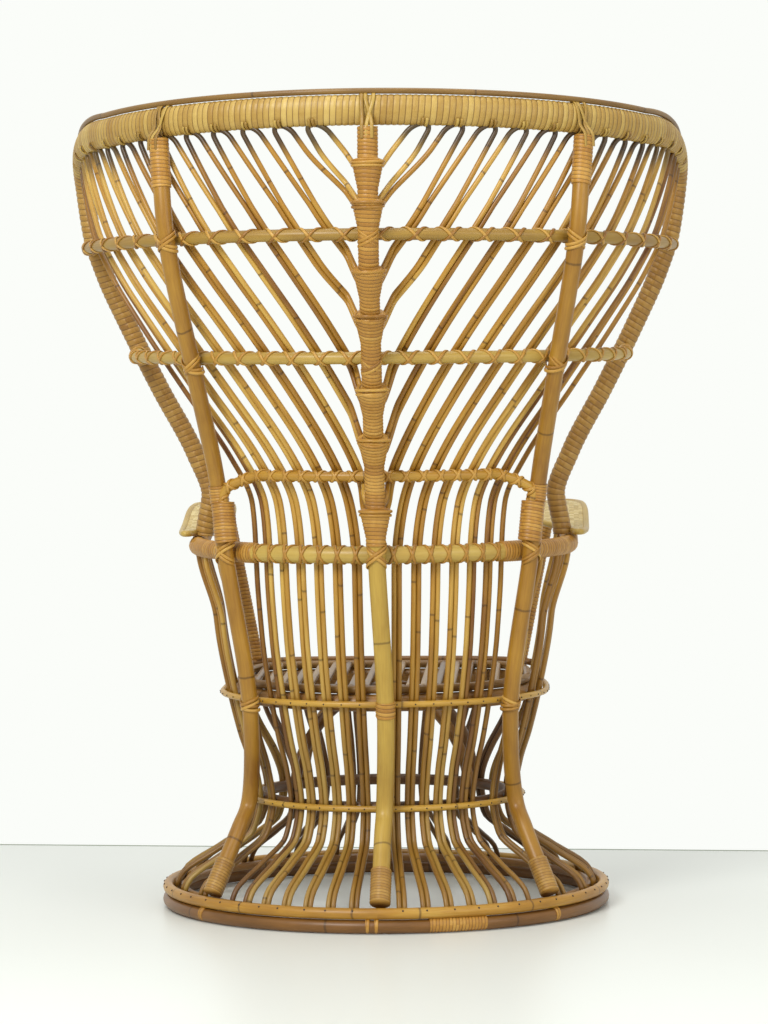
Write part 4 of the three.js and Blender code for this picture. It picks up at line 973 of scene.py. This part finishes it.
# Front skirt under a level rail, its canes in the darker brown finish as painted shade
FRONT_SPAN, FRONT_Z, FRONT_CANES = 104.0, 330.0, 14
skin = Skin()
a = np.linspace(180 - FRONT_SPAN / 2, 180 + FRONT_SPAN / 2, 120)
skin.sweep(place(a, FRONT_Z), SKIRT_RAIL, SKIRT_RAIL, outward(a, FRONT_Z), 10, tone())
limit = FRONT_SPAN / 2 - PAIR_STEP
for azimuth in paired(180 - limit, 180 + limit, FRONT_CANES):
    skirt_cane(skin, azimuth, FRONT_Z)
# The brown finish on these canes is painted shade
skin.piece("front_canes", BROWN, "tan_cane", "front_skirt")

# Sides: canes under a rail that runs forward from the post to the strut
ARM_RISE, ARM_RISE_LENGTH = 28.0, 200.0
STRUT_TOP, STRUT_FOOT, RAIL_START, SIDE_RAIL_PITCH = 131.0, 134.0, 49.3, 6.2
SIDE_FIRST, SIDE_LAST, SIDE_CANES, SIDE_SPREAD = 57.0, 125.0, 12, 412.0


def arm_lift(y):
    """Rise of the arm towards its front."""
    return ARM_RISE * ease(-np.asarray(y, float), 0, ARM_RISE_LENGTH)


def on_arm_rail(azimuth):
    """Centre of the side rail."""
    point = place(azimuth, ARM_Z, outside(ARM_RAIL))
    point[..., 2] += arm_lift(point[..., 1])
    return point


rail_end = STRUT_TOP - degrees_for(STRUT, ARM_Z) / squared(STRUT_TOP)
rail = on_arm_rail(np.linspace(RAIL_START, rail_end, 160))
for label, side in SIDES:
    skin = Skin()
    for azimuth in paired(SIDE_FIRST, SIDE_LAST, SIDE_CANES):
        skirt_cane(skin, azimuth, on_arm_rail(azimuth)[2], SIDE_SPREAD, outside(ARM_RAIL), side)
    skin.piece(f"{label}_side_canes", TAN, "tan_cane", f"{label}_side_panel")
    path = along_path(mirror(rail, side), step=1.0)[0]
    wound(f"{label}_rail_winding", path, ARM_RAIL, SIDE_RAIL_PITCH, AMBER)

# Arm pads: an edge cane round a woven panel, wide in front and narrow beside the limb
PAD_REAR, PAD_FRONT, PAD_OUTER = 50.0, -262.0, 290.0
REAR_ROUND, FRONT_ROUND = 90.0, 150.0
PAD_TAIL, PAD_WIDTH, STEP_FRONT, STEP_REAR = 22.0, 65.0, -78.0, -12.0
WEAVE_PITCH, WEAVE_RELIEF, WEAVE_MIDDLE, WEAVE_TUCK, WEAVE_END = 7.0, 1.1, 0.6, 1.2, 1.5
PAD_HALF, PAD_FULLNESS, PAD_RIM = 2.6, 0.2, 0.04
WEAVE_ROUGHNESS, WEAVE_COAT, WEAVE_BUMP, WEAVE_GRAIN = 0.5, 0.12, 0.0004, 160.0
STRAND_SHARE, GRAIN_SHARE = 0.6, 0.5


def pad_edges(y, inset=0.0):
    """Inner and outer edge of the pad at places from rear to front, with round ends."""
    y = np.asarray(y, float)
    forward = ease(-y, -STEP_REAR, -STEP_FRONT)
    outer, inner = PAD_OUTER - inset, PAD_OUTER - PAD_TAIL - (PAD_WIDTH - PAD_TAIL) * forward + inset
    rear = np.maximum(y - (PAD_REAR - inset - REAR_ROUND), 0) / REAR_ROUND
    front = np.maximum(PAD_FRONT + inset + FRONT_ROUND - y, 0) / FRONT_ROUND
    round_off = np.sqrt(np.maximum(1 - np.maximum(rear, front) ** 2, 0))
    middle, half = (outer + inner) / 2, (outer - inner) / 2
    return middle - half * round_off, middle + half * round_off


def pad_height(y):
    """Height of the pad's middle."""
    return ARM_Z + arm_lift(y) + ARM_RAIL + CROSSING + ARM_EDGE


def pad_rows(count):
    """Places from rear to front, closer together at the ends."""
    share = (1 - np.cos(np.linspace(0, np.pi, count))) / 2
    return PAD_REAR + share * (PAD_FRONT - PAD_REAR)


def woven_panel(skin, side):
    """Plain weave as a closed height field: strands rise and dip by turns in both directions."""
    inset = ARM_EDGE - WEAVE_TUCK
    rows = np.linspace(PAD_REAR - inset - WEAVE_END, PAD_FRONT + inset + WEAVE_END, 190)
    inner, outer = pad_edges(rows, inset)
    share = np.linspace(0, 1, 44)
    x = inner[:, None] + (outer - inner)[:, None] * share
    y = np.broadcast_to(rows[:, None], x.shape)
    u, v = np.pi * x / WEAVE_PITCH, np.pi * y / WEAVE_PITCH
    over = np.sin(u) * np.sin(v)
    strand = np.where(over > 0, np.abs(np.sin(v)), np.abs(np.sin(u)))
    crown = PAD_HALF * np.sin(np.pi * np.clip(share, PAD_RIM, 1 - PAD_RIM)) ** PAD_FULLNESS
    z = pad_height(rows)[:, None] + crown + WEAVE_RELIEF * (strand - WEAVE_MIDDLE)
    top = np.stack([x, y, z], -1)
    bottom = np.stack([x, y, 2 * pad_height(rows)[:, None] - z], -1)
    ring = np.concatenate([top, bottom[:, ::-1]], 1)
    closed_panel(skin, mirror(ring, side), side)


def closed_panel(skin, ring, side):
    """Rings of points joined into a closed skin, with the ends filled across."""
    rows, sides = ring.shape[:2]
    i, j, end = tube_grid(rows - 1, sides)
    beside = (j + 1) % sides
    near, far = i * sides, (i + 1) * sides
    quads = np.stack([near + j, far + j, far + beside, near + beside], 1)
    quads = np.concatenate([quads, end, end[:, ::-1] + (rows - 1) * sides])
    if side < 0:
        quads = quads[:, ::-1]
    points = ring.reshape(-1, 3)
    values = np.full((len(quads), 4, 4), 0.5)
    values[:, :, 1] = points[quads][:, :, 1]
    values[:, :, 2] = points[quads][:, :, 0] / WEAVE_PITCH
    skin.add(points, quads, values)


def weave_material():
    """Woven straw: each crossing of two strands has its own tone, with a fine grain."""
    s = Shader("arm weave")
    place_at = s.node("TexCoord", {}).outputs["Object"]
    split = s.node("SeparateXYZ", {}, (0, place_at))
    strands = [s.math("FLOOR", s.math("MULTIPLY", split.outputs[k], 1000 / WEAVE_PITCH)) for k in (0, 1)]
    crossing = s.combine(*strands, 0.0)
    own = s.node("TexWhiteNoise", {"noise_dimensions": "2D"}, ("Vector", crossing)).outputs["Value"]
    grain = s.noise(place_at, WEAVE_GRAIN, 2.0)
    shade = s.math("ADD", s.math("MULTIPLY", own, STRAND_SHARE), s.math("MULTIPLY", grain, GRAIN_SHARE))
    base = s.ramp(shade, colour(158, 130, 72), colour(204, 180, 118), colour(226, 208, 152))
    return s.finish(base, WEAVE_ROUGHNESS, grain, WEAVE_BUMP, WEAVE_COAT)


WEAVE = weave_material()
STRUT_SINK, STRUT_PITCH = 2.0, 5.4
strut_top, strut_foot = on_arm_rail(STRUT_TOP), place(STRUT_FOOT, FRONT_Z)
rise = unit(strut_top - strut_foot)
low = strut_foot + rise * (SKIRT_RAIL - STRUT_SINK)
high = strut_top + rise * (ARM_RAIL - STRUT / 2 - CLEARANCE)
rows = pad_rows(160)
inner, outer = pad_edges(rows)
loop = np.concatenate([np.stack([outer, rows, pad_height(rows)], 1),
                       np.stack([inner, rows, pad_height(rows)], 1)[-2:0:-1]])
ring = along_path(np.concatenate([loop, loop[:1]]), step=4)[0][:-1]
for label, side in SIDES:
    single(f"{label}_pad_edge", mirror(ring, side), ARM_EDGE, UP, CREAM, "straw_cane", f"{label}_arm_edge",
           sides=10, closed=True)
    skin = Skin()
    woven_panel(skin, side)
    skin.piece(f"{label}_pad_weave", WEAVE, "straw_cane", f"{label}_arm_weave")
    skin = Skin()
    path = mirror(low + (high - low) * np.linspace(0, 1, 260)[:, None], side)
    skin.sweep(path, STRUT, STRUT, FORWARD, 14, tone(), pitch=STRUT_PITCH, relief=WRAP_RELIEF)
    skin.piece(f"{label}_strut_winding", AMBER, "binding_cane", f"{label}_arm_strut")


# Lashings: strips crossed on the posts, and strips from the posts' heads over the back hoop
LASH_ANGLE, LASH_EASE, LASH_MARGIN, LASH_DEPTH, LASH_OVER = 150.0, 1.6, 1.5, 1.0, 0.6
LASH_SHIFTS, LASH_STRAY, LASH_HALF_WIDTH, LASH_HALF_DEPTH = (-2.6, 2.6), 0.5, 2.4, 1.1
HEAD_LIFTS = np.array([-RIM_HALF - 16, -RIM_HALF - 2, -6, 8, RIM_HALF - 3, RIM_HALF + 1.4, RIM_HALF + 0.5])
HEAD_LEADS, HEAD_HALF_WIDTH, HEAD_TILT = ((-7.0, -8.0), (-1.0, 8.0), (6.0, -3.0)), 2.8, 0.4
HEAD_FRONT, HEAD_DIP, HEAD_OUT = 2.0, 1.5, np.array([LIMB + 3.5, LIMB + 0.6, 7.0, 1.0, -5.0])


def layer_axes(azimuth, z):
    """Directions out of the layer, to one side on it and up it."""
    normal = outward(azimuth, z)
    side = unit(np.cross(UP, normal))
    return normal, side, np.cross(normal, side)


def crossed_lash(skin, azimuth, z, rail, radius, ease_off):
    """X of flat strips round a post where a rail passes behind it.

    Each strip lies on the post's round: it climbs evenly from behind on one side, over the front, to behind
    on the other side, where it meets the rail's lower or upper edge.
    """
    centre = place(azimuth, z, beyond(rail, radius) + ease_off)
    normal, side, upward = layer_axes(azimuth, z)
    angle = np.radians(np.linspace(-LASH_ANGLE, LASH_ANGLE, 30))[:, None]
    facing = np.sin(angle) * side + np.cos(angle) * normal
    for hand in (-1, 1):
        for shift in LASH_SHIFTS:
            stray = RANDOM.uniform(-LASH_STRAY, LASH_STRAY)
            lift = hand * (rail + LASH_MARGIN) * np.sin(angle / LASH_EASE) + (shift + stray)
            path = centre + facing * (radius + LASH_DEPTH + LASH_OVER * (hand > 0)) + lift * upward
            skin.sweep(path, LASH_HALF_WIDTH, LASH_HALF_DEPTH, facing, 6, tone())


def head_lash(skin, line, radius):
    """Strips from a post's head up the front of the back hoop and over its upper edge."""
    head = line[-1]
    azimuth = azimuth_of(head)
    middle = place(azimuth, rim_height(azimuth))
    normal, side, upward = layer_axes(azimuth, rim_height(azimuth))
    front = np.dot(head - middle, normal) + radius + HEAD_FRONT
    out = np.concatenate([[front, front - HEAD_DIP], HEAD_OUT])
    for low, high in HEAD_LEADS:
        across = low + (high - low) * ease(HEAD_LIFTS, -RIM_HALF, RIM_HALF)
        path = middle + across[:, None] * side + out[:, None] * normal + HEAD_LIFTS[:, None] * upward
        path, facing = resample(path, 1.5), normal + HEAD_TILT * upward
        skin.sweep(path, HEAD_HALF_WIDTH, LASH_HALF_DEPTH, facing, 6, tone())


# The posts and the spine are lashed to the rails, and the posts to the upper hoop too
skin, heads = Skin(), Skin()
CROSSED = ((TOP_Z, TOP_DROOP, TOP_RAIL, 0.0), (MIDDLE_Z, 0.0, MIDDLE_RAIL, 0.0),
           (ARM_Z, 0.0, ARM_RAIL, ARM_EASE), (UPPER_HOOP, 0.0, WAIST, 0.0))
for label, line, radius, lean, side in POLES:
    for z, droop, rail, ease_off in CROSSED[:-1] if label == "spine" else CROSSED:
        azimuth = side * curve_value(lean, z)
        crossed_lash(skin, azimuth, drooped(z, droop, azimuth), rail, radius, ease_off)
    head_lash(heads, line, radius)
skin.piece("post_lashings", BINDING, "binding_cane")
heads.piece("head_lashings", STRAW, "binding_cane")

# Four turns round the spine at the upper hoop
TURNS_BELOW, TURNS_ABOVE, TURNS_DEPTH, TURNS_PITCH = 16.0, 6.0, 1.8, 5.5
path = between(SPINE_LINE, UPPER_HOOP - TURNS_BELOW, UPPER_HOOP + TURNS_ABOVE, step=0.8)
wound("spine_turns", path, SPINE + TURNS_DEPTH, TURNS_PITCH, AMBER)


# Nail heads on the base ring and the waist hoops, one at each pair of canes
NAIL, HOOP_NAIL, NAIL_STRAY, NAIL_RISE, NAIL_TONE = 1.5, 1.2, 0.6, 0.7, 0.5
NAIL_DEPTHS, NAIL_DOME, NAIL_SIDE = np.array([-0.6, 0.5, 1.1]), np.array([1.0, 0.9, 0.4]), (0.3, 0.2, 0.93)


def nail(skin, point, direction, size):
    """Low domed head on a surface."""
    path = point + direction * NAIL_DEPTHS[:, None]
    skin.sweep(path, size * NAIL_DOME, size * NAIL_DOME, NAIL_SIDE, 6, NAIL_TONE)


skin = Skin()
for azimuth in np.arange(FIRST_PAIR, 180, PAIR_STEP):
    for side in (-1, 1):
        turn = np.radians(side * azimuth + RANDOM.uniform(-NAIL_STRAY, NAIL_STRAY))
        level = np.array([np.sin(turn), np.cos(turn), 0.0])
        tilt = unit(level + NAIL_RISE * UP)
        nail(skin, level * OUTER_RING_R + UP * RING_Z + tilt * BASE_OUTER, tilt, NAIL)
        for z in (LOWER_HOOP, UPPER_HOOP):
            facing = plan_normal(side * azimuth, z)
            centre = place(side * azimuth, z, outside(WAIST), level=True)
            nail(skin, centre + facing * WAIST, facing, HOOP_NAIL)
skin.piece("nail_heads", IRON, "dark_pole")

# Straps round the base pole, and a wound stretch on it, between azimuths
STRAPS = (51.4, 52.8), (2.0, 3.0), (-0.2, 0.8), (-51.4, -50.0), (-28.0, -13.0)
STRAP_DEPTH, STRAP_PITCH, STRAP_RELIEF = 1.3, 4.6, 0.8
STRAP, STRAP_R = BASE_POLE + STRAP_DEPTH, BASE_RADIUS - BASE_POLE
skin = Skin()
for start, end in STRAPS:
    turn = np.radians(np.linspace(start, end, max(int(abs(end - start) * 9), 8)))
    path = circle(STRAP_R, STRAP, turn)
    skin.sweep(path, STRAP, STRAP, UP, 16, tone(), pitch=STRAP_PITCH, relief=STRAP_RELIEF)
skin.piece("base_straps", AMBER, "binding_cane")

# Stage: a pale floor that ends at a far edge, with a white surround
MIDDLE_Y = AXIS_Y / 1000
FLOOR_END, FLOOR_NEAR, FLOOR_DROP, EDGE_WIDTH, REACH, SLANT = MIDDLE_Y - 0.587, 8.0, 0.0005, 0.012, 6.0, 0.5


def stage_strip(name, far, near, z, material):
    """Level four-sided strip between a far and a near edge, both a little aslant."""
    corners = [(-REACH, far + SLANT), (REACH, far - SLANT), (REACH, near - SLANT), (-REACH, near + SLANT)]
    mesh = bpy.data.meshes.new(name)
    mesh.from_pydata([(*corner, z) for corner in corners], [], [(0, 1, 2, 3)])
    mesh.materials.append(material)
    obj = bpy.data.objects.new(name, mesh)
    bpy.context.scene.collection.objects.link(obj)


def plain_material(name, shade, roughness):
    """Even matt surface."""
    return Shader(name).finish(shade, roughness)


FLOOR_PAINT = plain_material("floor", colour(239, 243, 236), 0.35)
EDGE_PAINT = plain_material("edge", colour(150, 160, 140), 0.7)
stage_strip("floor", FLOOR_END, FLOOR_NEAR, -FLOOR_DROP, FLOOR_PAINT)
stage_strip("floor_edge", FLOOR_END - EDGE_WIDTH, FLOOR_END, 0.0, EDGE_PAINT)

# Surround: one colour where it is seen straight, mirrored or through a surface, and another for its light
SEEN_COLOUR, LIGHT_COLOUR, LIGHT_STRENGTH = colour(251, 253, 249), (1.0, 1.0, 0.98, 1.0), 0.34
world = bpy.data.worlds.new("surround")
bpy.context.scene.world = world
world.use_nodes = True
tree = world.node_tree
tree.nodes.clear()
ray = tree.nodes.new("ShaderNodeLightPath")
seen, lit = tree.nodes.new("ShaderNodeBackground"), tree.nodes.new("ShaderNodeBackground")
seen.inputs["Color"].default_value = SEEN_COLOUR
lit.inputs["Color"].default_value = LIGHT_COLOUR
lit.inputs["Strength"].default_value = LIGHT_STRENGTH
choose, output = tree.nodes.new("ShaderNodeMixShader"), tree.nodes.new("ShaderNodeOutputWorld")
shown = ray.outputs["Is Camera Ray"]
for kind in ("Is Glossy Ray", "Is Transmission Ray"):
    either = tree.nodes.new("ShaderNodeMath")
    either.operation = "MAXIMUM"
    tree.links.new(shown, either.inputs[0])
    tree.links.new(ray.outputs[kind], either.inputs[1])
    shown = either.outputs[0]
tree.links.new(shown, choose.inputs[0])
tree.links.new(lit.outputs[0], choose.inputs[1])
tree.links.new(seen.outputs[0], choose.inputs[2])
tree.links.new(choose.outputs[0], output.inputs["Surface"])


def lamp(name, location, target, size, power):
    """Square soft light aimed at a point."""
    data = bpy.data.lights.new(name, "AREA")
    data.size, data.energy = size, power
    obj = bpy.data.objects.new(name, data)
    obj.location = location
    obj.rotation_euler = (Vector(target) - Vector(location)).to_track_quat("-Z", "Y").to_euler()
    bpy.context.scene.collection.objects.link(obj)


# Lamps: a key and a fill behind the chair at either side, and one above
lamp("key", (1.6, 3.4, 3.0), (0, 0, 0.6), 1.5, 118)
lamp("fill", (-2.6, 2.6, 1.8), (0, 0, 0.6), 2.2, 36)
lamp("top", (0, 0.2, 3.6), (0, 0, 0.5), 2.4, 45)

# Camera: a long lens behind the chair, a little above its middle
DISTANCE, CAMERA_Z, AIM_Z, AIM_X, SWING, ROLL = 6.04, 0.865, 0.5605, -0.001, 2.2, -0.44
LENS, SENSOR = 148.6, 36.0
camera = bpy.data.cameras.new("camera")
camera.lens, camera.sensor_width, camera.sensor_fit = LENS, SENSOR, "AUTO"
eye = bpy.data.objects.new("camera", camera)
swing = np.radians(SWING)
eye.location = (-DISTANCE * np.sin(swing), MIDDLE_Y + DISTANCE * np.cos(swing), CAMERA_Z)
aim = Vector((AIM_X, MIDDLE_Y, AIM_Z)) - eye.location
level = aim.to_track_quat("-Z", "Y")
eye.rotation_euler = (level @ Quaternion((0, 0, 1), np.radians(ROLL))).to_euler()
bpy.context.scene.collection.objects.link(eye)
bpy.context.scene.camera = eye
bpy.context.scene.view_settings.view_transform = "Standard"

# Bring the scene up to date
bpy.context.view_layer.update()
